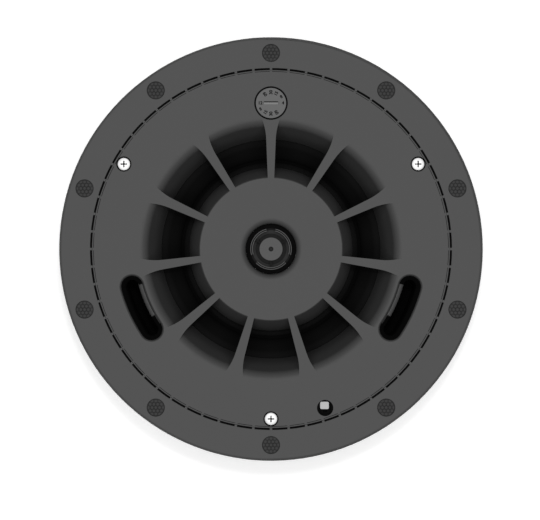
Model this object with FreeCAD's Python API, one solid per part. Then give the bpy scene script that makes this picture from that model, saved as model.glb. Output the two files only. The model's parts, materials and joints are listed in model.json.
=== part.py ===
import FreeCAD, Part
import math
import os
from FreeCAD import Vector

# In ceiling speaker, lying on its back can with the front face up.
# Millimetres. The origin is on the speaker's axis, in the plane of the ceiling's face:
# +Z points out of the front into the room, +Y points to the tap dial. Angles run
# clockwise from +Y as seen from the front.

# Front: mounting ring and baffle plate
cutout_radius = 110.4          # skirt that fills the hole in the ceiling
flange_width = 19.6            # ring outside the skirt
flange_radius = cutout_radius + flange_width
front_z = 5.0                  # front face above the ceiling
gasket_thickness = 1.0         # foam under the ring
edge_round = 1.8               # rounding of the ring's front edge
gasket_inset = 2.0             # the foam ends this far inside the ring's rim
shoulder_width = 1.8           # hard shoulder between the skirt and the gasket
skirt_wall = 1.8
skirt_depth = 3.5              # skirt below the ceiling's face
seam_offset = 0.6              # inner wall of the ring's opening outside the skirt
seam_radius = cutout_radius + seam_offset
seam_gap = 1.2                 # groove between the ring and the baffle
tooth_count = 64               # short bridges across the groove
tooth_width = 1.5
plate_thickness = 3.0
plate_chamfer = 0.2
fit = 0.05                     # clearance of pieces pushed into their seats
side_clearance = 0.3           # clearance of pieces that pass each other

# Grille magnets in the middle of the mounting ring
magnet_count = 10
magnet_ring_radius = cutout_radius + flange_width / 2
magnet_radius = 5.5
magnet_height = 2.4

# Bell mouth, hub and ribs of the baffle
face_width = 29.4              # flat face between the seam and the bell mouth
bell_radius = cutout_radius - face_width
bell_roll = 6.15               # radius of the roll into the bell; a straight wall follows it
bell_width = 13.0
throat_radius = bell_radius - bell_width
throat_z = -22.0
bell_wall = plate_thickness
opening_width = 37.0           # from the hub's edge to the bell's
hub_radius = bell_radius - opening_width
flank_width = 6.5
hub_foot_radius = hub_radius + flank_width
hub_foot_z = -18.0
flank_bulge = 0.55             # the foot's share of the flank's radius at half height
hub_wall = 2.5
hub_edge_chamfer = 0.5
dish_depth = 1.2               # the hub's face sinks towards the tweeter
bore_radius = 15.6
mouth_roll = 3.7               # roll from the hub's face into the tweeter bore
mouth_radius = bore_radius + mouth_roll
rib_count = 11
rib_root_half = 1.9
rib_neck_half = 2.9
rib_neck_inset = 14.0          # the ribs flare from this far inside the bell's edge
rib_neck_radius = bell_radius - rib_neck_inset
rib_flare_half = 6.6
rib_flare_bend = 0.27          # share of the flare that is reached half way along it

# Woofer seat behind the bell mouth
seat_width = 11.0
seat_radius = throat_radius + seat_width
seat_thickness = 2.0
seat_z = throat_z - seat_thickness
small_screw_radius = 1.4
screw_bite = 6.0               # how deep the small screws reach into their bosses
bite_relief = 0.5              # their holes go this much deeper
woofer_screw_count = 6
boss_radius = 3.5
boss_height = 9.0
woofer_screw_ring = seat_radius - boss_radius - 1.0

# Clamps
clamp_angles = (60.0, 180.0, 300.0)
clamp_screw_radius = 2.0
clamp_head_radius = 4.0
clamp_head_height = 2.5
clamp_head_drop = 0.3          # the head's crown below the baffle's face
clamp_counterbore_radius = 4.65
clamp_bore_gap = 0.15
tower_inner_radius = 4.6
tower_wall = 1.6
clamp_ring_radius = cutout_radius - tower_inner_radius - tower_wall
tower_top_thickness = 5.5
tower_foot_z = -58.0
tower_foot_thickness = 2.0
arm_length = 22.0
arm_neck_half = 3.0
arm_tip_half = 4.0
arm_height = 6.0
arm_wall = 1.4
arm_fold = 98.0                # the arm lies folded this far from outward
arm_gap = 0.3
insert_radius = 3.0
insert_collar = 0.5
running_gap = 0.05

# Back can, inside the clamp towers
can_sheet = 1.0
can_rim_width = 1.7            # flange of the can outside its wall
can_rim_gap = 0.8
can_rim_radius = clamp_ring_radius - tower_inner_radius - tower_wall - can_rim_gap
can_radius = can_rim_radius - can_rim_width
can_rim_z = -3.0
can_gasket_thickness = 1.0
can_bottom_z = -100.0
can_corner = 9.0
can_seat_inner = can_radius - 2 * can_sheet
can_seat_outer = can_rim_radius + 0.6
ear_angles = (30.0, 90.0, 150.0, 210.0, 270.0, 330.0)
ear_reach = 3.0                # screws of the can outside its rim
ear_ring_radius = can_rim_radius + ear_reach
ear_half_width = 4.5
ear_boss_radius = 3.2
can_screw_grip = 3.5

# Ports: slots beside the bell mouth that narrow down to ducts inside the can
port_half_width = 6.9
port_land = 0.4                # face left between the bell's edge and the slot
port_ring_radius = bell_radius + port_land + port_half_width
port_half_angle = 9.35
port_angles = (114.5, 245.5)
port_wall = 1.4
port_rim = 1.1
port_collar_z = can_rim_z + can_gasket_thickness
port_duct_half_width = 4.4
port_duct_radius = can_radius - can_sheet - side_clearance - port_wall - port_duct_half_width
port_end_z = -62.0

# Tap dial
dial_offset = 8.5              # the dial's centre outside the bell's edge
dial_ring_radius = bell_radius + dial_offset
dial_seat_radius = 10.3
dial_seat_depth = 2.4
dial_drop = 0.3                # the dial's face lies this far below the baffle's
bezel_drop = 1.2               # and the black bezel round it this far
bezel_wall = 0.9
dial_floor = 2.1
dial_seat_wall = 1.5
rotor_gap = 0.1
rotor_slot_length = 10.0
rotor_slot_width = 2.1
rotor_slot_depth = 0.9
rotor_shaft_radius = 3.0
rotor_shaft_depth = 4.0
switch_half_width = 8.0
switch_inner = 8.2             # the switch reaches this far towards the hub from the shaft
switch_outer = 3.3             # and this far towards the rim
switch_height = 12.0
switch_tags = 5
tag_inset = 3.0                # solder tags inside the switch's inner side
tag_width = 1.2
tag_sheet = 0.5
tag_length = 4.0

# Slide switch behind the round window
window_inset = 7.4             # window's centre inside the skirt
window_ring_radius = cutout_radius - window_inset
window_angle = 161.2
window_radius = 5.0
slide_body_x = 8.0
slide_body_y = 8.6
slide_body_height = 6.0
slide_body_drop = 2.0          # top of the switch below the back of the plate
slide_shroud_wall = 1.3
slide_shroud_height = 4.0
slide_pin_pitch = 2.5
slide_pin_width = 0.5
slide_pin_breadth = 0.8
slide_pin_length = 3.0
knob_x = 5.3
knob_y = 4.5
knob_shift = -0.35             # the cap sits this far off its neck along X
knob_top = 2.5                 # knob's top below the baffle's face
knob_round = 0.9
knob_travel = 3.0
knob_neck = 2.0
knob_neck_depth = 1.8
knob_fit = 0.2                 # clearance of the knob's cap and neck in the switch

# Ring screws that hold the mounting ring to the baffle
ring_screw_angles = (20.0, 100.0, 140.0, 220.0, 260.0, 340.0)
ring_screw_inset = 7.0
ring_screw_ring = cutout_radius - ring_screw_inset
lug_half_width = 4.0
lug_thickness = 2.0
small_head_radius = 2.6
small_head_height = 1.8
flat_head_height = 1.4         # ring screws
ring_screw_grip = 2.0

# Tweeter
dome_radius = 9.6
dome_height = 2.4
dome_wall = 0.2
dome_flange = 2.1              # flat rim of the dome, clamped under the guard
tweeter_seat_depth = 12.0      # seat below the baffle's face
tweeter_boss_wall = 1.9
tweeter_pillar_radius = 3.0
tweeter_plate_radius = 24.0
tweeter_screw_ring = tweeter_plate_radius - tweeter_pillar_radius
tweeter_plate_thickness = 2.0
tweeter_magnet_inner = 12.5
tweeter_magnet_outer = 23.0
tweeter_magnet_height = 8.0
tweeter_yoke_thickness = 3.0
tweeter_coil_gap = 0.35
tweeter_coil_wall = 0.5
tweeter_coil_reach = 0.6       # coil below the top plate
guard_base = 1.4
guard_disc_radius = 7.05
guard_hole_radius = 1.5
guard_arc_inner = 11.2
guard_arc_outer = 12.7
guard_lip = 0.4                # thickness of the two lips of each arc
guard_groove_depth = 1.0
guard_gap_half = 13.0          # half angle of each break in the guard's ring
guard_top_drop = 6.2           # guard's disc below the baffle's face
guard_disc_thickness = 1.4
guard_spoke_width = 1.2
guard_spoke_low = 2.5          # foot of the spokes below the disc's face

# Woofer
basket_sheet = 1.5
basket_rim_step = 1.5          # the basket opens this far outside the throat
basket_window_count = 6
basket_window_edge = 5.0       # sheet left above and below each window
basket_leg_half = 10.0         # half angle of the legs between the windows
surround_sheet = 0.5
surround_width = 12.0
surround_inner_radius = throat_radius - surround_width
surround_drop = 5.5
roll_middle = 0.36             # the roll's middle point, as shares of its width
roll_middle_drop = 0.345       # and of its height
cone_sheet = 0.8
cone_lip = 2.0
cone_bulge = 1.5               # the cone's wall stands this far above a straight one
cone_neck_z = -47.0
former_inner_radius = 13.0
former_wall = 0.3
coil_wall = 0.9
coil_height = 10.0
coil_gap = 0.4
pole_gap = 0.4
spider_drop = 5.5
spider_ledge = 3.5             # the spider's seat above the top plate
spider_sheet = 0.5
spider_outer_radius = 37.0
spider_rim = 3.0
spider_collar = 1.5
spider_waves = 3
spider_sag = 0.62              # where each wave is deepest, as a share of its width
spider_sag_rise = 0.30         # and how far it has risen there
top_plate_z = -59.0
top_plate_thickness = 5.0
top_plate_radius = 34.0
magnet_inner_radius = 22.0
magnet_outer_radius = 41.0
magnet_thickness = 13.0
yoke_thickness = 6.0
yoke_radius = 36.0
dust_cap_height = 4.0
dust_cap_wall = 1.2

# Safety tab on the can's side
tab_angle = 90.0
tab_z = -69.0
tab_sheet = 1.5
tab_half_width = 8.0
tab_hole_radius = 4.0
tab_hole_reach = 7.0           # hole's centre outside the can
tab_margin = 1.5               # metal left outside the hole
tab_foot_half_height = 8.0

# Terminals in a recess of the can's bottom
terminal_shift = 7.75          # from the middle between motor and can's wall towards the motor
terminal_x = (yoke_radius + can_radius) / 2 - terminal_shift
terminal_recess_radius = 21.0
terminal_recess_depth = 6.0
terminal_flange_gap = 1.0
terminal_flange_thickness = 2.0
terminal_cup_radius = 14.2
terminal_cup_depth = 16.0
terminal_wall = 1.7
plug_length = 20.0
plug_width = 8.6
plug_height = 11.0
plug_ways = 4
plug_hole_radius = 1.2
plug_hole_depth = 6.0
plug_slot_depth = 7.0
plug_slot_half = 1.4
plug_edge = 0.8

# Line transformer and crossover
core_inset = 29.5              # the transformer's and the board's centres inside the can's wall
core_y = can_radius - core_inset
core_half_width = 21.0
core_half_stack = 8.0
core_height = 26.0
core_limb_half = 6.0
core_yoke = 5.5
core_side = 6.0
bobbin_overhang = 6.0
bobbin_gap = 0.1
bobbin_flange = 1.2
board_y = -core_y
board_half_length = 33.0
board_half_width = 16.0
board_thickness = 1.6
board_standoff = 5.0
spacer_radius = 2.5
spacer_inset = 4.0
spacer_peg = 1.0               # pegs stand this far out of the board
choke_x = -14.0
choke_radius = 10.0
choke_core_radius = 4.5
choke_height = 9.0
capacitor_x = 2.0
capacitor_spacing = 2.0
capacitor_radius = 5.5
capacitor_length = 22.0

up = Vector(0, 0, 1)
origin = Vector(0, 0, 0)
diagonal = math.sqrt(0.5)      # half way round a quarter circle


def polar(radius, angle, z=0.0):
    """Point at a clockwise angle from +Y."""
    turn = math.radians(angle)
    return Vector(radius * math.sin(turn), radius * math.cos(turn), z)


def turned(shape, angle):
    """Copy of a shape modelled at +Y, carried clockwise to its angle."""
    copy = shape.copy()
    copy.rotate(origin, up, -angle)
    return copy


def cylinder(radius, low, high, centre=origin):
    return Part.makeCylinder(radius, high - low, Vector(centre.x, centre.y, low))


def tube(inner, outer, low, high, centre=origin):
    return cylinder(outer, low, high, centre).cut(cylinder(inner, low - 1, high + 1, centre))


def block(x0, x1, y0, y1, low, high):
    return Part.makeBox(x1 - x0, y1 - y0, high - low, Vector(x0, y0, low))


def line(start, end):
    """Edge between two (radius, z) points of a section in the XZ plane."""
    return Part.makeLine(Vector(start[0], 0, start[1]), Vector(end[0], 0, end[1]))


def arc(start, middle, end):
    points = [Vector(p[0], 0, p[1]) for p in (start, middle, end)]
    return Part.Arc(*points).toShape()


def cap_arc(rim_radius, rim_z, height):
    """Round cap that meets the axis squarely, from its rim up to the axis."""
    sphere = (rim_radius ** 2 + height ** 2) / (2 * height)
    half_turn = math.asin(min(1.0, rim_radius / sphere)) / 2
    middle = (sphere * math.sin(half_turn), rim_z + height - sphere + sphere * math.cos(half_turn))
    return arc((rim_radius, rim_z), middle, (0, rim_z + height))


def revolved(edges):
    """Solid of revolution about Z of a closed section."""
    return Part.Face(Part.Wire(edges)).revolve(origin, up, 360)


def polygon(points):
    closed = list(points) + [points[0]]
    return [line(a, b) for a, b in zip(closed[:-1], closed[1:])]


def fused(shapes):
    return shapes[0].multiFuse(shapes[1:]).removeSplitter() if len(shapes) > 1 else shapes[0]


def bell_curve(inset, foot_z):
    """Roll and straight wall of the bell mouth down to foot_z, inset into its wall."""
    centre = (bell_radius, front_z - bell_roll)
    across = centre[0] - throat_radius
    fall = centre[1] - throat_z
    slope = math.atan2(fall, across) + math.asin(bell_roll / math.hypot(across, fall))

    def on_roll(turn):
        radius = bell_roll - inset
        return (centre[0] - radius * math.sin(turn), centre[1] + radius * math.cos(turn))

    top = on_roll(0)
    bend = on_roll(slope)
    foot = (bend[0] - (bend[1] - foot_z) / math.tan(slope), foot_z)
    return [arc(top, on_roll(slope / 2), bend), line(bend, foot)], top, foot


def plate_and_bell():
    """Flat face, bell mouth and the seat of the woofer, in one section."""
    edge = seam_radius - seam_gap
    rear = front_z - plate_thickness
    front_curve, front_top, front_foot = bell_curve(0.0, throat_z)
    rear_curve, rear_top, rear_foot = bell_curve(bell_wall, throat_z)
    section = [
        line((edge, rear), (edge, front_z - plate_chamfer)),
        line((edge, front_z - plate_chamfer), (edge - plate_chamfer, front_z)),
        line((edge - plate_chamfer, front_z), front_top),
    ]
    section += front_curve
    section += [
        line(front_foot, (throat_radius, seat_z)),
        line((throat_radius, seat_z), (seat_radius, seat_z)),
        line((seat_radius, seat_z), (seat_radius, throat_z)),
        line((seat_radius, throat_z), rear_foot),
    ]
    section += reversed(rear_curve)
    section.append(line(rear_top, (edge, rear)))
    return revolved(section)


def flank_middle(inset):
    """Point of the hub's flank at half height, inset towards the axis."""
    radius = hub_radius * (1 - flank_bulge) + hub_foot_radius * flank_bulge
    return (radius - inset, (front_z + hub_foot_z) / 2)


def hub():
    """Dished hub with a rolled tweeter mouth, a flared flank and a hollow back."""
    mouth_z = front_z - dish_depth
    roll = mouth_roll
    roll_z = mouth_z - roll
    seat = front_z - tweeter_seat_depth
    under_top = (hub_radius - hub_wall, mouth_z - hub_wall)
    boss_out = bore_radius + tweeter_boss_wall
    section = [
        line((bore_radius, seat), (bore_radius, roll_z)),
        arc((bore_radius, roll_z), (mouth_radius - roll * diagonal, roll_z + roll * diagonal),
            (mouth_radius, mouth_z)),
        line((mouth_radius, mouth_z), (hub_radius - hub_edge_chamfer, front_z)),
        line((hub_radius - hub_edge_chamfer, front_z), (hub_radius, front_z - hub_edge_chamfer)),
        arc((hub_radius, front_z - hub_edge_chamfer), flank_middle(0), (hub_foot_radius, hub_foot_z)),
        line((hub_foot_radius, hub_foot_z), (hub_foot_radius - hub_wall, hub_foot_z)),
        arc((hub_foot_radius - hub_wall, hub_foot_z), flank_middle(hub_wall), under_top),
        line(under_top, (boss_out, under_top[1])),
        line((boss_out, under_top[1]), (boss_out, seat)),
        line((boss_out, seat), (bore_radius, seat)),
    ]
    body = revolved(section)
    for angle in tweeter_screw_angles():
        spot = polar(tweeter_screw_ring, angle)
        body = body.fuse(cylinder(tweeter_pillar_radius, seat, under_top[1] + hub_wall / 2, spot))
    for angle in tweeter_screw_angles():
        spot = polar(tweeter_screw_ring, angle)
        body = body.cut(cylinder(small_screw_radius + fit, seat - 1, seat + screw_bite, spot))
    return body


def tweeter_screw_angles():
    return (0.0, 120.0, 240.0)


def ribs():
    """Radial ribs between the hub and the bell mouth, flaring into the face."""
    flare_top = bell_radius + 1.0
    start = hub_radius - hub_wall
    quarter = rib_neck_half + (rib_flare_half - rib_neck_half) * rib_flare_bend
    half_way = (rib_neck_radius + flare_top) / 2

    def spot(x, y):
        return Vector(x, y, hub_foot_z)

    outline = [
        Part.makeLine(spot(-rib_root_half, start), spot(-rib_neck_half, rib_neck_radius)),
        Part.Arc(spot(-rib_neck_half, rib_neck_radius), spot(-quarter, half_way),
                 spot(-rib_flare_half, flare_top)).toShape(),
        Part.makeLine(spot(-rib_flare_half, flare_top), spot(rib_flare_half, flare_top)),
        Part.Arc(spot(rib_flare_half, flare_top), spot(quarter, half_way),
                 spot(rib_neck_half, rib_neck_radius)).toShape(),
        Part.makeLine(spot(rib_neck_half, rib_neck_radius), spot(rib_root_half, start)),
        Part.makeLine(spot(rib_root_half, start), spot(-rib_root_half, start)),
    ]
    height = front_z - hub_foot_z
    blade = Part.Face(Part.Wire(outline)).extrude(Vector(0, 0, height))
    wall_curve, wall_top, wall_foot = bell_curve(bell_wall / 2, hub_foot_z)
    flank_top = (hub_radius - hub_wall / 2, front_z)
    flank_foot = (hub_foot_radius - hub_wall / 2, hub_foot_z)
    section = [arc(flank_top, flank_middle(hub_wall / 2), flank_foot), line(flank_foot, wall_foot)]
    section += reversed(wall_curve)
    section += [line(wall_top, (bell_radius, front_z)), line((bell_radius, front_z), flank_top)]
    rib = blade.common(revolved(section))
    return [turned(rib, 360.0 / rib_count * k) for k in range(rib_count)]


def bean_wire(mid_radius, half_width, half_angle, z):
    """Curved slot outline about +Y with round ends."""
    def end_tip(side):
        turn = math.radians(half_angle * side)
        along = Vector(math.cos(turn), -math.sin(turn), 0) * (half_width * side)
        return polar(mid_radius, half_angle * side, z) + along

    outer = mid_radius + half_width
    inner = mid_radius - half_width
    right = half_angle
    return Part.Wire([
        Part.Arc(polar(outer, -right, z), polar(outer, 0, z), polar(outer, right, z)).toShape(),
        Part.Arc(polar(outer, right, z), end_tip(1), polar(inner, right, z)).toShape(),
        Part.Arc(polar(inner, right, z), polar(inner, 0, z), polar(inner, -right, z)).toShape(),
        Part.Arc(polar(inner, -right, z), end_tip(-1), polar(outer, -right, z)).toShape(),
    ])


def bean_prism(mid_radius, half_width, low, high):
    face = Part.Face(bean_wire(mid_radius, half_width, port_half_angle, low))
    return face.extrude(Vector(0, 0, high - low))


def bean_loft(sections):
    wires = [bean_wire(radius, half, port_half_angle, z) for radius, half, z in sections]
    return Part.makeLoft(wires, True, True)


def port_collar():
    """Bean wall behind the plate that narrows down to the duct."""
    return bean_loft([
        (port_ring_radius, port_half_width + port_wall, front_z - plate_thickness / 2),
        (port_duct_radius, port_duct_half_width + port_wall, port_collar_z),
    ])


def port_opening():
    """Slot through the plate and collar, with a rim eased in two flats."""
    waist = front_z - port_rim
    mouth = bean_loft([
        (port_ring_radius, port_half_width, waist),
        (port_ring_radius, port_half_width + port_rim * 0.3, front_z - port_rim * 0.35),
        (port_ring_radius, port_half_width + port_rim, front_z + 0.2),
    ])
    funnel = bean_loft([
        (port_ring_radius, port_half_width, waist),
        (port_duct_radius, port_duct_half_width, port_collar_z),
        (port_duct_radius, port_duct_half_width, port_collar_z - 1),
    ])
    return mouth.fuse(funnel)


def port_tube(angle):
    """Straight duct behind the collar."""
    outer = bean_prism(port_duct_radius, port_duct_half_width + port_wall, port_end_z, port_collar_z)
    inner = bean_prism(port_duct_radius, port_duct_half_width, port_end_z - 1, port_collar_z + 1)
    return turned(outer.cut(inner), angle)


def tower_sector(low, high):
    """Wedge that opens the clamp tower where the arm swings."""
    reach = (tower_inner_radius + tower_wall) * 2
    margin = math.degrees(math.asin((arm_neck_half + arm_gap) / tower_inner_radius))
    first = -margin
    last = arm_fold + margin
    steps = 6
    fan = [Vector(0, clamp_ring_radius, low)]
    for k in range(steps + 1):
        turn = math.radians(first + (last - first) * k / steps)
        fan.append(Vector(reach * math.sin(turn), clamp_ring_radius + reach * math.cos(turn), low))
    fan.append(fan[0])
    return Part.Face(Part.makePolygon(fan)).extrude(Vector(0, 0, high - low))


def clamp_tower():
    """Half-open channel round the clamp screw, with a foot that guides its tip."""
    spot = Vector(0, clamp_ring_radius, 0)
    outer = tower_inner_radius + tower_wall
    top = front_z - plate_thickness
    body = cylinder(outer, tower_foot_z, top, spot)
    under_top = top - tower_top_thickness
    above_foot = tower_foot_z + tower_foot_thickness
    body = body.cut(cylinder(tower_inner_radius, above_foot, under_top, spot))
    body = body.cut(tower_sector(above_foot, under_top))
    return body.common(cylinder(cutout_radius - skirt_wall - side_clearance, tower_foot_z - 1, front_z))


def clamp_head_seat():
    """Floor of the counterbore that the clamp screw's head rests on."""
    return front_z - clamp_head_drop - clamp_head_height


def clamp_bores():
    spot = Vector(0, clamp_ring_radius, 0)
    counterbore = cylinder(clamp_counterbore_radius, clamp_head_seat(), front_z + 1, spot)
    clearance = cylinder(clamp_screw_radius + clamp_bore_gap, tower_foot_z - 1, front_z, spot)
    return counterbore.fuse(clearance)


def slide_spot():
    return polar(window_ring_radius, window_angle)


def slide_shroud():
    """Open frame behind the window that holds the slide switch."""
    spot = slide_spot()
    half_x = slide_body_x / 2 + fit + slide_shroud_wall
    half_y = slide_body_y / 2 + fit + slide_shroud_wall
    rear = front_z - plate_thickness
    frame = block(spot.x - half_x, spot.x + half_x, spot.y - half_y, spot.y + half_y,
                  rear - slide_shroud_height, rear + plate_thickness / 2)
    inside = cutout_radius - skirt_wall - side_clearance
    return frame.common(cylinder(inside, rear - slide_shroud_height, front_z))


def slide_pocket():
    spot = slide_spot()
    half_x = slide_body_x / 2 + fit
    half_y = slide_body_y / 2 + fit
    rear = front_z - plate_thickness
    pocket = block(spot.x - half_x, spot.x + half_x, spot.y - half_y, spot.y + half_y,
                   rear - slide_shroud_height - 1, rear)
    return pocket.fuse(cylinder(window_radius, rear - 0.5, front_z + 1, spot))


def baffle():
    rear = front_z - plate_thickness
    pieces = [plate_and_bell(), hub()] + ribs()
    pieces += [turned(port_collar(), angle) for angle in port_angles]
    pieces += [turned(clamp_tower(), angle) for angle in clamp_angles]
    seat_floor = front_z - dial_seat_depth
    dial_spot = Vector(0, dial_ring_radius, 0)
    dial_back = seat_floor - dial_floor
    plate_middle = rear + plate_thickness / 2
    pieces.append(cylinder(dial_seat_radius + dial_seat_wall, dial_back, plate_middle, dial_spot))
    pieces.append(slide_shroud())
    can_seat = can_rim_z + can_gasket_thickness
    pieces.append(tube(can_seat_inner, can_seat_outer, can_seat, plate_middle))
    for angle in ear_angles:
        pieces.append(cylinder(ear_boss_radius, can_seat, plate_middle, polar(ear_ring_radius, angle)))
    for angle in woofer_screw_angles():
        pieces.append(cylinder(boss_radius, seat_z, seat_z + boss_height, polar(woofer_screw_ring, angle)))
    body = fused(pieces)
    cuts = [turned(port_opening(), angle) for angle in port_angles]
    cuts += [turned(clamp_bores(), angle) for angle in clamp_angles]
    cuts.append(cylinder(dial_seat_radius, seat_floor, front_z + 1, dial_spot))
    cuts.append(cylinder(rotor_shaft_radius + rotor_gap, dial_back - 1, front_z, dial_spot))
    cuts.append(slide_pocket())
    for angle in ear_angles:
        cuts.append(cylinder(small_screw_radius + fit, can_seat - 1, rear + 1, polar(ear_ring_radius, angle)))
    for angle in woofer_screw_angles():
        spot = polar(woofer_screw_ring, angle)
        cuts.append(cylinder(small_screw_radius + fit, seat_z - 1, seat_z + screw_bite + bite_relief, spot))
    for angle in ring_screw_angles:
        spot = polar(ring_screw_ring, angle)
        cuts.append(cylinder(small_screw_radius + fit, rear - 1, rear + ring_screw_grip + 0.2, spot))
    return body.cut(cuts).removeSplitter()


def woofer_screw_angles():
    return [30.0 + 360.0 / woofer_screw_count * k for k in range(woofer_screw_count)]


def mounting_ring():
    """Outer moulding with its skirt, ledge, teeth, magnet pockets and screw lugs."""
    rear = gasket_thickness
    ledge_top = front_z - plate_thickness
    inner = cutout_radius - skirt_wall
    shoulder = cutout_radius + shoulder_width
    bend = edge_round * (1 - diagonal)
    section = [
        line((inner, -skirt_depth), (cutout_radius, -skirt_depth)),
        line((cutout_radius, -skirt_depth), (cutout_radius, 0)),
        line((cutout_radius, 0), (shoulder, 0)),
        line((shoulder, 0), (shoulder, rear)),
        line((shoulder, rear), (flange_radius, rear)),
        line((flange_radius, rear), (flange_radius, front_z - edge_round)),
        arc((flange_radius, front_z - edge_round), (flange_radius - bend, front_z - bend),
            (flange_radius - edge_round, front_z)),
        line((flange_radius - edge_round, front_z), (seam_radius, front_z)),
        line((seam_radius, front_z), (seam_radius, ledge_top)),
        line((seam_radius, ledge_top), (inner, ledge_top)),
        line((inner, ledge_top), (inner, -skirt_depth)),
    ]
    pieces = [revolved(section)]
    tip = seam_radius - seam_gap + fit
    tooth = block(-tooth_width / 2, tooth_width / 2, tip, seam_radius + 1,
                  ledge_top - 0.5, front_z - plate_chamfer)
    pieces += [turned(tooth, 360.0 / tooth_count * k) for k in range(tooth_count)]
    lug_low = ledge_top - lug_thickness
    lug = block(-lug_half_width, lug_half_width, ring_screw_ring, inner + skirt_wall / 2, lug_low, ledge_top)
    lug = lug.fuse(cylinder(lug_half_width, lug_low, ledge_top, Vector(0, ring_screw_ring, 0)))
    lug = lug.cut(cylinder(small_screw_radius + fit, lug_low - 1, front_z, Vector(0, ring_screw_ring, 0)))
    pieces += [turned(lug, angle) for angle in ring_screw_angles]
    body = fused(pieces)
    pocket_spot = Vector(0, magnet_ring_radius, 0)
    pocket = cylinder(magnet_radius + fit, front_z - magnet_height, front_z + 1, pocket_spot)
    return body.cut([turned(pocket, angle) for angle in magnet_angles()])


def magnet_angles():
    return [360.0 / magnet_count * k for k in range(magnet_count)]


def grille_magnet(angle):
    spot = polar(magnet_ring_radius, angle)
    return cylinder(magnet_radius, front_z - magnet_height, front_z, spot)


def ceiling_gasket():
    outer = flange_radius - gasket_inset
    return tube(cutout_radius + shoulder_width + fit, outer, 0, gasket_thickness)


def screw(head_radius, head_height, shank_radius, length, cross=True):
    """Pan head screw: head on top of z = 0, shank below it."""
    crown = head_height * 0.45
    section = [
        line((0, -length), (shank_radius, -length)),
        line((shank_radius, -length), (shank_radius, 0)),
        line((shank_radius, 0), (head_radius, 0)),
        line((head_radius, 0), (head_radius, head_height - crown)),
        cap_arc(head_radius, head_height - crown, crown),
        line((0, head_height), (0, -length)),
    ]
    body = revolved(section)
    if cross:
        reach = head_radius * 0.5
        half = head_radius * 0.11
        depth = head_height * 0.6
        bar = block(-reach, reach, -half, half, head_height - depth, head_height + 1)
        bar = bar.fuse(block(-half, half, -reach, reach, head_height - depth, head_height + 1))
        body = body.cut(bar)
    return body


def rear_screws(ring_radius, angles, seat, bite, head_height):
    """Group of small screws driven from behind, their heads under z = seat."""
    fastener = screw(small_head_radius, head_height, small_screw_radius, bite, cross=False)
    fastener.rotate(origin, Vector(1, 0, 0), 180)
    fastener.translate(Vector(0, ring_radius, seat))
    return Part.makeCompound([turned(fastener, angle) for angle in angles])


def clamp_screw(angle):
    seat = clamp_head_seat()
    length = seat - tower_foot_z - bite_relief
    fastener = screw(clamp_head_radius, clamp_head_height, clamp_screw_radius, length)
    fastener.translate(polar(clamp_ring_radius, angle, seat))
    return fastener


def arm_low():
    return tower_foot_z + tower_foot_thickness + arm_gap


def clamp_insert(angle):
    """Brass thread insert that climbs the screw inside the arm."""
    spot = Vector(0, clamp_ring_radius, 0)
    low = arm_low()
    body = tube(clamp_screw_radius + running_gap, insert_radius, low, low + arm_height + insert_collar, spot)
    return turned(body, angle)


def clamp_arm(angle):
    """Swing-out arm, modelled pointing outward and then folded along the rim."""
    low = arm_low()
    high = low + arm_height
    spot = Vector(0, clamp_ring_radius, 0)
    tip_round = arm_tip_half
    hub_out = tower_inner_radius - arm_gap
    tip_centre = clamp_ring_radius + arm_length - tip_round
    outline = [
        Vector(-arm_neck_half, clamp_ring_radius, low),
        Vector(-arm_neck_half, clamp_ring_radius + tower_inner_radius + tower_wall + 1, low),
        Vector(-arm_tip_half, tip_centre, low),
        Vector(arm_tip_half, tip_centre, low),
        Vector(arm_neck_half, clamp_ring_radius + tower_inner_radius + tower_wall + 1, low),
        Vector(arm_neck_half, clamp_ring_radius, low),
    ]
    blade = Part.Face(Part.makePolygon(outline + [outline[0]])).extrude(Vector(0, 0, arm_height))
    tip = cylinder(tip_round, low, high, Vector(0, tip_centre, 0))
    body = fused([cylinder(hub_out, low, high, spot), blade, tip])
    half = arm_neck_half - arm_wall
    pocket_start = clamp_ring_radius + insert_radius + 2 * arm_wall
    pocket = block(-half, half, pocket_start, tip_centre, low - 1, high - arm_wall)
    body = body.cut(pocket)
    body = body.cut(cylinder(insert_radius + running_gap, low - 1, high + 1, spot))
    body.rotate(spot, up, -arm_fold)
    return turned(body, angle)


def bezel_inner():
    """The bezel's inner radius, outside the turning dial."""
    return dial_seat_radius - fit - bezel_wall


def tap_dial_bezel():
    """Black ring in the seat, round the dial and lower than it."""
    spot = Vector(0, dial_ring_radius, 0)
    return tube(bezel_inner(), dial_seat_radius - fit, front_z - dial_seat_depth, front_z - bezel_drop, spot)


def tap_dial_rotor():
    """Slotted disc of the dial on the switch's shaft."""
    spot = Vector(0, dial_ring_radius, 0)
    floor = front_z - dial_seat_depth
    face = front_z - dial_drop
    disc = cylinder(bezel_inner() - rotor_gap, floor + rotor_gap, face, spot)
    shaft = cylinder(rotor_shaft_radius, floor - dial_floor - rotor_shaft_depth, floor + rotor_gap, spot)
    half = rotor_slot_width / 2
    straight = rotor_slot_length / 2 - half
    slot_low = face - rotor_slot_depth
    slot = block(-straight, straight, dial_ring_radius - half, dial_ring_radius + half, slot_low, face + 1)
    for side in (-1, 1):
        slot = slot.fuse(cylinder(half, slot_low, face + 1, Vector(side * straight, dial_ring_radius, 0)))
    return disc.fuse(shaft).cut(slot).removeSplitter()


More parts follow.
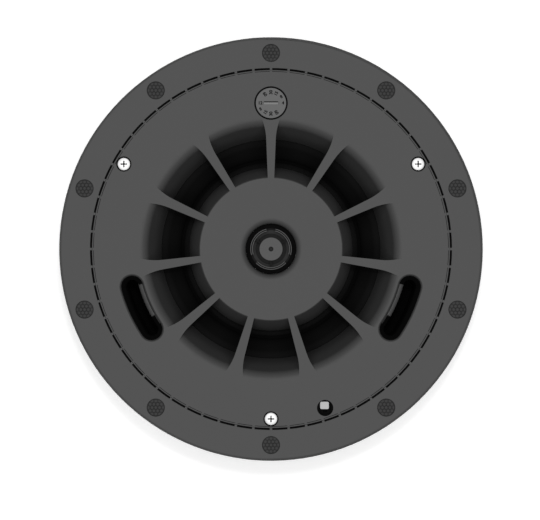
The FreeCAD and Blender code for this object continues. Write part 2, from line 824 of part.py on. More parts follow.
def tap_switch():
    """Sealed rotary switch under the dial, with its solder tags."""
    top = front_z - dial_seat_depth - dial_floor
    low = top - switch_height
    inner = dial_ring_radius - switch_inner
    body = block(-switch_half_width, switch_half_width, inner, dial_ring_radius + switch_outer, low, top)
    spot = Vector(0, dial_ring_radius, 0)
    body = body.cut(cylinder(rotor_shaft_radius + rotor_gap, top - rotor_shaft_depth - 0.5, top + 1, spot))
    tags = []
    tag_y = inner + tag_inset
    for k in range(switch_tags):
        x = -switch_half_width + switch_half_width * 2 / (switch_tags + 1) * (k + 1)
        tags.append(block(x - tag_width / 2, x + tag_width / 2, tag_y, tag_y + tag_sheet,
                          low - tag_length, low + tag_sheet))
    return fused([body] + tags)


def slide_low():
    return front_z - plate_thickness - slide_body_drop


def slide_switch_body():
    spot = slide_spot()
    top = slide_low()
    body = block(spot.x - slide_body_x / 2, spot.x + slide_body_x / 2,
                 spot.y - slide_body_y / 2, spot.y + slide_body_y / 2, top - slide_body_height, top)
    half = knob_neck / 2 + knob_fit
    reach = (knob_neck + knob_travel) / 2 + knob_fit
    slot_low = top - knob_neck_depth - 2 * knob_fit
    slot = block(spot.x - half, spot.x + half, spot.y - reach, spot.y + reach, slot_low, top + 1)
    pins = []
    pin_top = top - slide_body_height
    for k in (-1, 0, 1):
        y = spot.y + slide_pin_pitch * k
        pins.append(block(spot.x - slide_pin_width / 2, spot.x + slide_pin_width / 2,
                          y - slide_pin_breadth / 2, y + slide_pin_breadth / 2,
                          pin_top - slide_pin_length, pin_top + slide_pin_width))
    return fused([body.cut(slot)] + pins)


def slide_switch_knob():
    """Square knob at its upper stop, with a neck down into the switch."""
    spot = slide_spot()
    y = spot.y + knob_travel / 2
    low = slide_low() + knob_fit
    high = front_z - knob_top
    x = spot.x + knob_shift
    cap = block(x - knob_x / 2, x + knob_x / 2, y - knob_y / 2, y + knob_y / 2, low, high)
    upright = [e for e in cap.Edges if abs(e.Vertexes[0].Z - e.Vertexes[1].Z) > (high - low) / 2]
    cap = cap.makeFillet(knob_round, upright)
    neck = block(spot.x - knob_neck / 2, spot.x + knob_neck / 2, y - knob_neck / 2, y + knob_neck / 2,
                 slide_low() - knob_neck_depth, low + knob_fit)
    return cap.fuse(neck).removeSplitter()


def tweeter_seat():
    return front_z - tweeter_seat_depth


def tweeter_guard():
    """Phase plug: centre disc, three spokes and a broken, grooved ring on a seat ring."""
    seat = tweeter_seat()
    top = front_z - guard_top_drop
    base_top = seat + guard_base
    disc_low = top - guard_disc_thickness
    pieces = [tube(dome_radius + dome_flange + rotor_gap, bore_radius - fit, seat, base_top)]
    wall = tube(guard_arc_inner + 0.6, guard_arc_outer, base_top - 0.5, top)
    band = wall.fuse(tube(guard_arc_inner, guard_arc_outer, top - guard_spoke_low, top))
    groove = tube(guard_arc_inner + guard_lip, guard_arc_outer - guard_lip, top - guard_groove_depth, top + 1)
    band = band.cut(groove)
    wide = guard_arc_outer * 2
    for k in range(3):
        half = wide * math.tan(math.radians(guard_gap_half))
        wedge = Part.makePolygon([Vector(0, 0, base_top), Vector(-half, wide, base_top),
                                  Vector(half, wide, base_top), Vector(0, 0, base_top)])
        gap = Part.Face(wedge).extrude(Vector(0, 0, top - base_top + 1))
        band = band.cut(turned(gap, 120.0 * k))
    pieces.append(band)
    pieces.append(cylinder(guard_disc_radius, disc_low, top))
    spoke = block(-guard_spoke_width / 2, guard_spoke_width / 2, guard_disc_radius - 1, guard_arc_inner + 0.9,
                  top - guard_spoke_low, disc_low + guard_lip / 2)
    pieces += [turned(spoke, 60.0 + 120.0 * k) for k in range(3)]
    body = fused(pieces)
    return body.cut(cylinder(guard_hole_radius, disc_low - 1, top + 1))


def tweeter_dome():
    """Thin dome with its narrow roll, clamped at its rim."""
    seat = tweeter_seat()
    low = seat + 0.3
    rim = dome_radius + dome_flange
    sheet = dome_wall
    section = [
        cap_arc(dome_radius, low + sheet, dome_height),
        line((0, low + sheet + dome_height), (0, low + dome_height)),
        cap_arc(dome_radius - sheet, low, dome_height),
        line((dome_radius - sheet, low), (dome_radius - sheet, seat)),
        line((dome_radius - sheet, seat), (rim, seat)),
        line((rim, seat), (rim, low + sheet)),
        line((rim, low + sheet), (dome_radius, low + sheet)),
    ]
    return revolved(section)


def tweeter_coil():
    seat = tweeter_seat()
    low = seat - tweeter_plate_thickness - tweeter_coil_reach
    return tube(dome_radius - tweeter_coil_wall, dome_radius, low, seat)


def tweeter_top_plate():
    seat = tweeter_seat()
    low = seat - tweeter_plate_thickness
    body = tube(dome_radius + tweeter_coil_gap, tweeter_plate_radius, low, seat)
    for angle in tweeter_screw_angles():
        spot = polar(tweeter_screw_ring, angle)
        body = body.cut(cylinder(small_screw_radius + fit, low - 1, seat + 1, spot))
    return body


def tweeter_magnet():
    """Ring magnet, notched where the three screws pass it."""
    high = tweeter_seat() - tweeter_plate_thickness
    body = tube(tweeter_magnet_inner, tweeter_magnet_outer, high - tweeter_magnet_height, high)
    notch = small_head_radius + 2 * side_clearance
    for angle in tweeter_screw_angles():
        spot = polar(tweeter_screw_ring, angle)
        body = body.cut(cylinder(notch, high - tweeter_magnet_height - 1, high + 1, spot))
    return body


def tweeter_yoke():
    high = tweeter_seat() - tweeter_plate_thickness - tweeter_magnet_height
    rim = tweeter_screw_ring - small_head_radius - 2 * side_clearance
    plate = cylinder(rim, high - tweeter_yoke_thickness, high)
    pole = cylinder(dome_radius - tweeter_coil_wall - tweeter_coil_gap, high, tweeter_seat() - side_clearance)
    return fused([plate, pole])


def tweeter_screws():
    seat = tweeter_seat() - tweeter_plate_thickness
    bite = screw_bite + tweeter_plate_thickness - bite_relief
    return rear_screws(tweeter_screw_ring, tweeter_screw_angles(), seat, bite, small_head_height)


def woofer_seat():
    """Front of the basket's flange, under the surround's lip."""
    return seat_z - surround_sheet


def basket():
    """Pressed basket with six windows between its legs, and a ledge for the spider."""
    top = woofer_seat()
    under = top - basket_sheet
    inner = throat_radius + basket_rim_step
    floor = top_plate_z + basket_sheet
    floor_outer = spider_outer_radius + 2.5
    ledge = spider_rest()
    wall = basket_sheet * 1.15
    section = polygon([
        (inner, top), (seat_radius, top), (seat_radius, under), (inner + wall, under),
        (floor_outer + wall, floor), (floor_outer, top_plate_z),
        (former_inner_radius + former_wall + coil_wall + 3, top_plate_z),
        (former_inner_radius + former_wall + coil_wall + 3, floor),
        (spider_outer_radius - spider_rim, floor), (spider_outer_radius - spider_rim, ledge),
        (floor_outer + (ledge - floor) * 0.7, ledge), (inner, under),
    ])
    body = revolved(section)
    window_low = spider_rest() + basket_window_edge
    window_high = under - basket_window_edge
    half_angle = 360.0 / basket_window_count / 2 - basket_leg_half
    wide = seat_radius * math.tan(math.radians(half_angle))
    outline = [Vector(0, 0, window_low), Vector(-wide, seat_radius, window_low),
               Vector(wide, seat_radius, window_low), Vector(0, 0, window_low)]
    window = Part.Face(Part.makePolygon(outline)).extrude(Vector(0, 0, window_high - window_low))
    body = body.cut([turned(window, 360.0 / basket_window_count * k) for k in range(basket_window_count)])
    holes = []
    for angle in woofer_screw_angles():
        spot = polar(woofer_screw_ring, angle)
        holes.append(cylinder(small_screw_radius + fit, under - 1, top + 1, spot))
    return body.cut(holes)


def spider_rest():
    """Height of the ledge that carries the spider."""
    return top_plate_z + spider_ledge


def surround():
    """Rubber roll from the lip under the baffle down to the cone's edge."""
    sheet = surround_sheet
    high = seat_z
    low = high - sheet - surround_drop
    lip = woofer_screw_ring - small_screw_radius * 2
    start = throat_radius - 0.3
    inner = surround_inner_radius
    middle = (inner + (start - inner) * roll_middle, high - surround_drop * roll_middle_drop)
    section = [
        line((lip, high), (start, high)),
        arc((start, high), middle, (inner, low + sheet)),
        line((inner, low + sheet), (inner - cone_lip, low + sheet)),
        line((inner - cone_lip, low + sheet), (inner - cone_lip, low)),
        line((inner - cone_lip, low), (inner + sheet, low)),
        arc((inner + sheet, low), (middle[0] + sheet, middle[1] - sheet), (start + sheet, high - sheet)),
        line((start + sheet, high - sheet), (lip, high - sheet)),
        line((lip, high - sheet), (lip, high)),
    ]
    return revolved(section)


def cone_rim_z():
    return seat_z - surround_sheet - surround_drop


def cone():
    """Curved cone between the surround and the voice coil former."""
    rim_z = cone_rim_z()
    neck = former_inner_radius + former_wall
    rim = surround_inner_radius
    sheet = cone_sheet
    edge = rim - cone_lip
    middle = (edge + neck) / 2
    high = (rim_z + cone_neck_z) / 2 + cone_bulge
    section = [
        line((rim, rim_z), (edge, rim_z)),
        arc((edge, rim_z), (middle, high), (neck, cone_neck_z)),
        line((neck, cone_neck_z), (neck, cone_neck_z - sheet)),
        arc((neck, cone_neck_z - sheet), (middle, high - sheet), (edge, rim_z - sheet)),
        line((edge, rim_z - sheet), (rim, rim_z - sheet)),
        line((rim, rim_z - sheet), (rim, rim_z)),
    ]
    return revolved(section)


def dust_cap():
    """Shallow dome on the former's open end."""
    rim = former_inner_radius + former_wall
    low = cone_neck_z
    high = low + cone_sheet
    section = [
        line((rim, low), (rim, high)),
        cap_arc(rim, high, dust_cap_height),
        line((0, high + dust_cap_height), (0, low + dust_cap_height)),
        cap_arc(rim - dust_cap_wall, low, dust_cap_height),
        line((rim - dust_cap_wall, low), (rim, low)),
    ]
    return revolved(section)


def coil_centre():
    return top_plate_z - top_plate_thickness / 2


def coil_former():
    low = coil_centre() - coil_height / 2
    return tube(former_inner_radius, former_inner_radius + former_wall, low, cone_neck_z)


def voice_coil():
    inner = former_inner_radius + former_wall
    return tube(inner, inner + coil_wall, coil_centre() - coil_height / 2, coil_centre() + coil_height / 2)


def spider():
    """Corrugated disc from the basket's ledge up to the former."""
    rest = spider_rest()
    inner = former_inner_radius + former_wall
    outer = spider_outer_radius
    sheet = spider_sheet
    inner_flat = inner + spider_collar
    outer_flat = outer - spider_rim
    top = rest + spider_drop
    step = (outer_flat - inner_flat) / spider_waves
    rise = spider_drop / spider_waves

    def run(shift):
        edges = []
        for k in range(spider_waves):
            start = (outer_flat - step * k, rest + rise * k + shift)
            end = (outer_flat - step * (k + 1), rest + rise * (k + 1) + shift)
            middle = (start[0] - step * spider_sag, start[1] + rise * spider_sag_rise)
            edges.append(arc(start, middle, end))
        return edges

    section = [line((outer, rest), (outer_flat, rest))] + run(0.0)
    section += [
        line((inner_flat, top), (inner, top)),
        line((inner, top), (inner, top + sheet)),
        line((inner, top + sheet), (inner_flat, top + sheet)),
    ]
    section += run(sheet)
    section += [
        line((outer_flat, rest + sheet), (outer, rest + sheet)),
        line((outer, rest + sheet), (outer, rest)),
    ]
    ordered = Part.__sortEdges__(section)
    return revolved(ordered)


def woofer_top_plate():
    inner = former_inner_radius + former_wall + coil_wall + coil_gap
    return tube(inner, top_plate_radius, top_plate_z - top_plate_thickness, top_plate_z)


def woofer_magnet():
    high = top_plate_z - top_plate_thickness
    return tube(magnet_inner_radius, magnet_outer_radius, high - magnet_thickness, high)


def woofer_yoke():
    high = top_plate_z - top_plate_thickness - magnet_thickness
    back = cylinder(yoke_radius, high - yoke_thickness, high)
    pole = cylinder(former_inner_radius - pole_gap, high, top_plate_z)
    return fused([back, pole])


def can_gasket():
    high = can_rim_z + can_gasket_thickness
    body = tube(can_radius - can_sheet, can_rim_radius, can_rim_z, high)
    return with_ears(body, can_rim_z, high)


def with_ears(body, low, high):
    """Adds the six screw ears to a ring and drills them."""
    ear = block(-ear_half_width, ear_half_width, can_radius, ear_ring_radius, low, high)
    ear = ear.fuse(cylinder(ear_half_width, low, high, Vector(0, ear_ring_radius, 0)))
    body = fused([body] + [turned(ear, angle) for angle in ear_angles])
    inside = cylinder(can_radius - can_sheet, low - 1, high + 1)
    spots = [polar(ear_ring_radius, angle) for angle in ear_angles]
    holes = [cylinder(small_screw_radius + fit, low - 1, high + 1, spot) for spot in spots]
    return body.cut([inside] + holes)


def back_can():
    """Drawn steel can with a rolled corner, a screw flange and a terminal recess."""
    outer = can_radius
    low = can_bottom_z
    sheet = can_sheet
    bend = can_corner * (1 - diagonal)
    inner_bend = (can_corner - sheet) * (1 - diagonal) + sheet
    section = [
        line((0, low), (outer - can_corner, low)),
        arc((outer - can_corner, low), (outer - bend, low + bend), (outer, low + can_corner)),
        line((outer, low + can_corner), (outer, can_rim_z)),
        line((outer, can_rim_z), (outer - sheet, can_rim_z)),
        line((outer - sheet, can_rim_z), (outer - sheet, low + can_corner)),
        arc((outer - sheet, low + can_corner), (outer - inner_bend, low + inner_bend),
            (outer - can_corner, low + sheet)),
        line((outer - can_corner, low + sheet), (0, low + sheet)),
        line((0, low + sheet), (0, low)),
    ]
    shell = revolved(section)
    rim = tube(outer - sheet, can_rim_radius, can_rim_z - sheet, can_rim_z)
    rim = with_ears(rim, can_rim_z - sheet, can_rim_z)
    spot = Vector(terminal_x, 0, 0)
    floor = low + terminal_recess_depth
    well = cylinder(terminal_recess_radius + sheet, low, floor + sheet, spot)
    body = shell.fuse([rim, well])
    body = body.cut(cylinder(terminal_recess_radius, low - 1, floor, spot))
    body = body.cut(cylinder(terminal_cup_radius + fit, floor - 1, floor + sheet + 1, spot))
    return body.removeSplitter()


def can_screws():
    seat = can_rim_z - can_sheet
    bite = can_sheet + can_gasket_thickness + can_screw_grip
    return rear_screws(ear_ring_radius, ear_angles, seat, bite, small_head_height)


def woofer_screws():
    seat = woofer_seat() - basket_sheet
    bite = basket_sheet + surround_sheet + screw_bite
    return rear_screws(woofer_screw_ring, woofer_screw_angles(), seat, bite, small_head_height)


def ring_screws():
    seat = front_z - plate_thickness - lug_thickness
    bite = lug_thickness + ring_screw_grip
    return rear_screws(ring_screw_ring, ring_screw_angles, seat, bite, flat_head_height)


def safety_tab():
    """Welded tab with a hole for a safety wire."""
    foot_low = tab_z - tab_foot_half_height
    foot_high = tab_z + tab_foot_half_height
    foot = tube(can_radius, can_radius + tab_sheet, foot_low, foot_high)
    hole_ring = can_radius + tab_hole_reach
    end = hole_ring + tab_hole_radius + tab_margin
    foot = foot.common(block(-tab_half_width, tab_half_width, 0, end, foot_low, foot_high))
    half = tab_sheet / 2
    ledge = block(-tab_half_width, tab_half_width, can_radius - 1, end, tab_z - half, tab_z + half)
    ledge = ledge.cut(cylinder(can_radius, tab_z - tab_sheet, tab_z + tab_sheet))
    body = fused([foot, ledge])
    body = body.cut(cylinder(tab_hole_radius, tab_z - tab_sheet, tab_z + tab_sheet, Vector(0, hole_ring, 0)))
    return turned(body, tab_angle)


def terminal_cup():
    """Cup set into the can's recess, open towards the back."""
    spot = Vector(terminal_x, 0, 0)
    floor = can_bottom_z + terminal_recess_depth
    rim = terminal_recess_radius - terminal_flange_gap
    flange = cylinder(rim, floor - terminal_flange_thickness, floor, spot)
    cup = cylinder(terminal_cup_radius, floor, floor + terminal_cup_depth, spot)
    body = flange.fuse(cup).removeSplitter()
    inside = cylinder(terminal_cup_radius - terminal_wall, floor - terminal_flange_thickness - 1,
                      floor + terminal_cup_depth - terminal_wall, spot)
    return body.cut(inside)


def terminal_plug():
    """Four-way plug in connector on the cup's floor."""
    high = can_bottom_z + terminal_recess_depth + terminal_cup_depth - terminal_wall
    low = high - plug_height
    half = plug_length / 2
    body = block(terminal_x - half, terminal_x + half, -plug_width / 2, plug_width / 2, low, high)
    pitch = plug_length / plug_ways
    cuts = []
    for k in range(plug_ways):
        x = terminal_x - half + pitch * (k + 0.5)
        cuts.append(cylinder(plug_hole_radius, low - 1, low + plug_hole_depth, Vector(x, plug_width / 4, 0)))
        cuts.append(block(x - plug_slot_half, x + plug_slot_half, -plug_width / 2 + plug_edge, -plug_edge,
                          low - 1, low + plug_slot_depth))
    return body.cut(cuts)


def transformer_core():
    """Stack of laminations round two windows."""
    low = can_bottom_z + can_sheet
    high = low + core_height
    y0 = core_y - core_half_stack
    y1 = core_y + core_half_stack
    body = block(-core_half_width, core_half_width, y0, y1, low, high)
    for side in (-1, 1):
        a = side * core_limb_half
        b = side * (core_half_width - core_side)
        body = body.cut(block(min(a, b), max(a, b), y0 - 1, y1 + 1, low + core_yoke, high - core_yoke))
    return body


def transformer_bobbin():
    low = can_bottom_z + can_sheet + core_yoke + bobbin_gap
    high = can_bottom_z + can_sheet + core_height - core_yoke - bobbin_gap
    half_x = core_half_width - core_side - bobbin_gap
    half_y = core_half_stack + bobbin_overhang
    outer = block(-half_x, half_x, core_y - half_y, core_y + half_y, low, high)
    hole_x = core_limb_half + bobbin_gap
    hole_y = core_half_stack + bobbin_gap
    flange = bobbin_flange
    body = outer.cut(block(-hole_x, hole_x, core_y - hole_y, core_y + hole_y, low - 1, high + 1))
    for side in (-1, 1):
        y = core_y + side * half_y
        body = body.cut(block(-half_x - 1, half_x + 1, y - flange, y + flange, low + flange, high - flange))
    return body


def board_low():
    return can_bottom_z + can_sheet + board_standoff


def crossover_board():
    low = board_low()
    high = low + board_thickness
    body = block(-board_half_length, board_half_length,
                 board_y - board_half_width, board_y + board_half_width, low, high)
    holes = [cylinder(small_screw_radius, low - 1, high + 1, spot) for spot in spacer_spots()]
    return body.cut(holes)


def spacer_spots():
    x = board_half_length - spacer_inset
    y = board_half_width - spacer_inset
    return [Vector(sx * x, board_y + sy * y, 0) for sx in (-1, 1) for sy in (-1, 1)]


def board_spacers():
    """Four spacers whose pegs pass through the board."""
    low = can_bottom_z + can_sheet
    posts = []
    for spot in spacer_spots():
        post = cylinder(spacer_radius, low, board_low(), spot)
        peg_top = board_low() + board_thickness + spacer_peg
        peg = cylinder(small_screw_radius - fit, board_low() - 1, peg_top, spot)
        posts.append(post.fuse(peg).removeSplitter())
    return Part.makeCompound(posts)


def crossover_choke():
    low = board_low() + board_thickness
    spot = Vector(choke_x, board_y, 0)
    return tube(choke_core_radius, choke_radius, low, low + choke_height, spot)


def crossover_capacitors():
    """Two capacitors lying on the board."""
    axis_z = board_low() + board_thickness + capacitor_radius
    cans = []
    for side in (-1, 1):
        spot = Vector(capacitor_x, board_y + side * (capacitor_radius + capacitor_spacing / 2), axis_z)
        cans.append(Part.makeCylinder(capacitor_radius, capacitor_length, spot, Vector(1, 0, 0)))
    return Part.makeCompound(cans)


def all_nodes():
    nodes = {
        "mounting_ring": mounting_ring(),
        "baffle": baffle(),
        "ceiling_gasket": ceiling_gasket(),
        "tap_dial_bezel": tap_dial_bezel(),
        "tap_dial_rotor": tap_dial_rotor(),
        "tap_switch": tap_switch(),
        "slide_switch_body": slide_switch_body(),
        "slide_switch_knob": slide_switch_knob(),
        "ring_screws": ring_screws(),
        "tweeter_guard": tweeter_guard(),
        "tweeter_dome": tweeter_dome(),
        "tweeter_coil": tweeter_coil(),
        "tweeter_top_plate": tweeter_top_plate(),
        "tweeter_magnet": tweeter_magnet(),
        "tweeter_yoke": tweeter_yoke(),
        "tweeter_screws": tweeter_screws(),
        "woofer_basket": basket(),
        "woofer_surround": surround(),
        "woofer_cone": cone(),
        "dust_cap": dust_cap(),
        "coil_former": coil_former(),
        "voice_coil": voice_coil(),
        "spider": spider(),
        "woofer_top_plate": woofer_top_plate(),
        "woofer_magnet": woofer_magnet(),
        "woofer_yoke": woofer_yoke(),
        "woofer_screws": woofer_screws(),
        "can_gasket": can_gasket(),
        "back_can": back_can(),
        "can_screws": can_screws(),
        "safety_tab": safety_tab(),
        "terminal_cup": terminal_cup(),
        "terminal_plug": terminal_plug(),
        "transformer_core": transformer_core(),
        "transformer_bobbin": transformer_bobbin(),
        "crossover_board": crossover_board(),
        "board_spacers": board_spacers(),
        "crossover_choke": crossover_choke(),
        "crossover_capacitors": crossover_capacitors(),
    }
    for k, angle in enumerate(magnet_angles()):
        nodes["grille_magnet_%02d" % (k + 1)] = grille_magnet(angle)
    for k, angle in enumerate(port_angles):
        nodes["port_tube_%d" % (k + 1)] = port_tube(angle)
    for k, angle in enumerate(clamp_angles):
        nodes["clamp_screw_%d" % (k + 1)] = clamp_screw(angle)
        nodes["clamp_insert_%d" % (k + 1)] = clamp_insert(angle)
        nodes["clamp_arm_%d" % (k + 1)] = clamp_arm(angle)
    return nodes


os.makedirs("parts", exist_ok=True)
for name, shape in all_nodes().items():
    shape.exportStep("parts/%s.step" % name)
    state = "valid" if shape.isValid() else "INVALID"
    print(name, len(shape.Solids), "solids", round(shape.Volume), "mm3", state)
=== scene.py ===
# %% [markdown]
# An in ceiling speaker is a plain object with a lot of fine work on its face: a ring moulding with
# round grille magnets, a baffle whose bell mouth is bridged by eleven ribs, a small tweeter in the
# hub and a few screws. The frame holds all rigid pieces at their real size. This lesson gives them
# their finish and adds what is too fine or too soft for the frame.

# %% Load the frame
import json
import math

import bmesh
import bpy
import numpy as np
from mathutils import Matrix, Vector


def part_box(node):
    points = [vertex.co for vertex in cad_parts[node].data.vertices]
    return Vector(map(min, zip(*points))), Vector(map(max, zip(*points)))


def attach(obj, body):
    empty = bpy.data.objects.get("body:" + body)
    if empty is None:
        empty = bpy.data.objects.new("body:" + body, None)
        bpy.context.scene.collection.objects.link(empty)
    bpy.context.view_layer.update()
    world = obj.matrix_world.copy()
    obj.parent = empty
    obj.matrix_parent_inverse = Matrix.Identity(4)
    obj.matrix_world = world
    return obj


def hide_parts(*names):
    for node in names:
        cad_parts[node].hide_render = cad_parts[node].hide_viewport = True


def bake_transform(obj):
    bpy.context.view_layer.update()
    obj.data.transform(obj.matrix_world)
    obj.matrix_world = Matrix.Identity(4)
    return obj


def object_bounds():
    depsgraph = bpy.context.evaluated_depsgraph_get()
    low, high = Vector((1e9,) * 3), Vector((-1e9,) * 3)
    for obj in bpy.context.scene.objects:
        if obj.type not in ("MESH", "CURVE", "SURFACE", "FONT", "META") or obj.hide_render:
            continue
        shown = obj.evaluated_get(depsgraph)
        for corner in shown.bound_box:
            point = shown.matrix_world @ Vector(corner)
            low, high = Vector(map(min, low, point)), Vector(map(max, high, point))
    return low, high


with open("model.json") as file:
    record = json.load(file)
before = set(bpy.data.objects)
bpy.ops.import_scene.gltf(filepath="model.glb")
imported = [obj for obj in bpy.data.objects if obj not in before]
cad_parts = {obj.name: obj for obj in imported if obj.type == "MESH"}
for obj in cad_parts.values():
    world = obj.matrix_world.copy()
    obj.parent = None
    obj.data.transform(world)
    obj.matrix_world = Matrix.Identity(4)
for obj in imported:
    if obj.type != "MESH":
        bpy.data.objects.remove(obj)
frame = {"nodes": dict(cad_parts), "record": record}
cad_box = [list(corner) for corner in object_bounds()]
nodes = frame["nodes"]
MM = 0.001
print("frame box in mm", [[round(v / MM, 1) for v in corner] for corner in cad_box])

# %% [markdown]
# The photograph looks straight at the front face from far away. The camera therefore hangs two
# metres above the face with a long lens, and its centre is shifted a little so that the speaker
# sits in the frame as it does in the photograph. Widths are worked out in the plane of the face.

# %% Camera
IMAGE_WIDTH = 540
IMAGE_HEIGHT = 520
SPEAKER_CENTRE_PX = (271.0, 249.0)
SPEAKER_RADIUS_PX = 212.0
CAMERA_DISTANCE = 2.0
SENSOR_WIDTH_MM = 36.0
VIEW_END = 20.0

ring_low, ring_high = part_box("mounting_ring")
flange_radius = (ring_high.x - ring_low.x) / 2
face_z = ring_high.z
metres_per_px = flange_radius / SPEAKER_RADIUS_PX
view_width = IMAGE_WIDTH * metres_per_px

camera_data = bpy.data.cameras.new("camera")
camera_data.sensor_width = SENSOR_WIDTH_MM
camera_data.lens = camera_data.sensor_width * CAMERA_DISTANCE / view_width
camera_data.clip_end = VIEW_END
camera = bpy.data.objects.new("camera", camera_data)
camera.location = (
    (IMAGE_WIDTH / 2 - SPEAKER_CENTRE_PX[0]) * metres_per_px,
    (SPEAKER_CENTRE_PX[1] - IMAGE_HEIGHT / 2) * metres_per_px,
    face_z + CAMERA_DISTANCE,
)
bpy.context.scene.collection.objects.link(camera)
bpy.context.scene.camera = camera
print("lens", round(camera_data.lens, 1), "mm; one pixel is", round(metres_per_px / MM, 3), "mm")

# %% [markdown]
# Product photographs of black mouldings are lit from the camera's side, so that every flat face
# reads as an even grey and every wall that drops away from the camera goes dark. A broad lamp
# behind the camera does that. A small lamp beside it, tilted a few degrees towards the dial's
# side, adds the short soft shadow under the lower rim, and a dim white world lights the sides.

# %% Light
SKY_STRENGTH = 0.16
SOFT_POWER = 62.0
SOFT_SIZE = 2.2
SOFT_PLACE = (0.0, 0.0, 2.3)
KEY_POWER = 9.0
KEY_SIZE = 0.10
KEY_PLACE = (0.02, 0.22, 2.25)

scene = bpy.context.scene
scene.view_settings.view_transform = "Standard"
scene.view_settings.look = "None"

world = bpy.data.worlds.new("studio")
world.use_nodes = True
world.node_tree.nodes["Background"].inputs["Color"].default_value = (1.0, 1.0, 1.0, 1.0)
world.node_tree.nodes["Background"].inputs["Strength"].default_value = SKY_STRENGTH
scene.world = world


def area_lamp(name, place, size, power, target=(0.0, 0.0, 0.0)):
    """Square lamp at a place, turned towards a target."""
    data = bpy.data.lights.new(name, "AREA")
    data.size = size
    data.energy = power
    lamp = bpy.data.objects.new(name, data)
    lamp.location = place
    direction = Vector(target) - Vector(place)
    lamp.rotation_euler = direction.to_track_quat("-Z", "Y").to_euler()
    scene.collection.objects.link(lamp)
    return lamp


area_lamp("soft_lamp", SOFT_PLACE, SOFT_SIZE, SOFT_POWER)
area_lamp("key_lamp", KEY_PLACE, KEY_SIZE, KEY_POWER)

# %% [markdown]
# The floor is a plain pale sheet under the back can. It glows a little, as an underlit table does,
# so that it stays white close to the speaker where the flange hides most of the sky.

# %% Floor
FLOOR_HALF = 4.0
FLOOR_GLOW = 0.30
FLOOR_GREY = 0.92
FLOOR_ROUGHNESS = 0.9
WHITE = (1.0, 1.0, 1.0, 1.0)

floor_z = cad_box[0][2]
floor_signs = ((-1, -1), (1, -1), (1, 1), (-1, 1))
floor_corners = [(sx * FLOOR_HALF, sy * FLOOR_HALF, floor_z) for sx, sy in floor_signs]
floor_mesh = bpy.data.meshes.new("floor")
floor_mesh.from_pydata(floor_corners, [], [(0, 1, 2, 3)])
floor = bpy.data.objects.new("floor", floor_mesh)
scene.collection.objects.link(floor)

floor_material = bpy.data.materials.new("floor_white")
floor_material.use_nodes = True
floor_shader = floor_material.node_tree.nodes["Principled BSDF"]
floor_shader.inputs["Base Color"].default_value = (FLOOR_GREY, FLOOR_GREY, FLOOR_GREY, 1.0)
floor_shader.inputs["Roughness"].default_value = FLOOR_ROUGHNESS
floor_shader.inputs["Emission Color"].default_value = WHITE
floor_shader.inputs["Emission Strength"].default_value = FLOOR_GLOW
floor_mesh.materials.append(floor_material)

# %% [markdown]
# Moulded plastic is never one flat colour. The mould leaves a fine spark-eroded grain, and the
# plastic flows unevenly, so its grey drifts a little over some centimetres. Both are one shader
# group, built once: noise at two scales, read from Object coordinates so that it stays on the
# piece. It puts out a colour, a roughness and a height, and each material sets its own amounts.
# The group also paints shade into hollows: where it is asked to, it darkens a finish smoothly
# between two heights, as if less light reached down there.

# %% Shader groups
DRIFT_SCALE = 25.0
DRIFT_DETAIL = 2.0
GRAIN_DETAIL = 3.0


def group_with(name, inputs, outputs):
    """New shader node group with float or colour sockets given as (name, kind, default)."""
    group = bpy.data.node_groups.new(name, "ShaderNodeTree")
    for label, kind, default in inputs:
        socket = group.interface.new_socket(name=label, in_out="INPUT", socket_type=kind)
        socket.default_value = default
    for label, kind in outputs:
        group.interface.new_socket(name=label, in_out="OUTPUT", socket_type=kind)
    return group, group.nodes.new("NodeGroupInput"), group.nodes.new("NodeGroupOutput")


def add_math(tree, operation, first, second):
    """Math node whose two inputs are sockets or plain numbers."""
    node = tree.nodes.new("ShaderNodeMath")
    node.operation = operation
    for slot_index, value in enumerate((first, second)):
        if isinstance(value, (int, float)):
            node.inputs[slot_index].default_value = value
        else:
            tree.links.new(value, node.inputs[slot_index])
    return node.outputs[0]


def noise(tree, coordinates, scale, detail):
    """Noise texture of a fixed or linked scale; gives its Fac output."""
    node = tree.nodes.new("ShaderNodeTexNoise")
    node.inputs["Detail"].default_value = detail
    tree.links.new(coordinates, node.inputs["Vector"])
    if isinstance(scale, (int, float)):
        node.inputs["Scale"].default_value = scale
    else:
        tree.links.new(scale, node.inputs["Scale"])
    return node.outputs["Fac"]


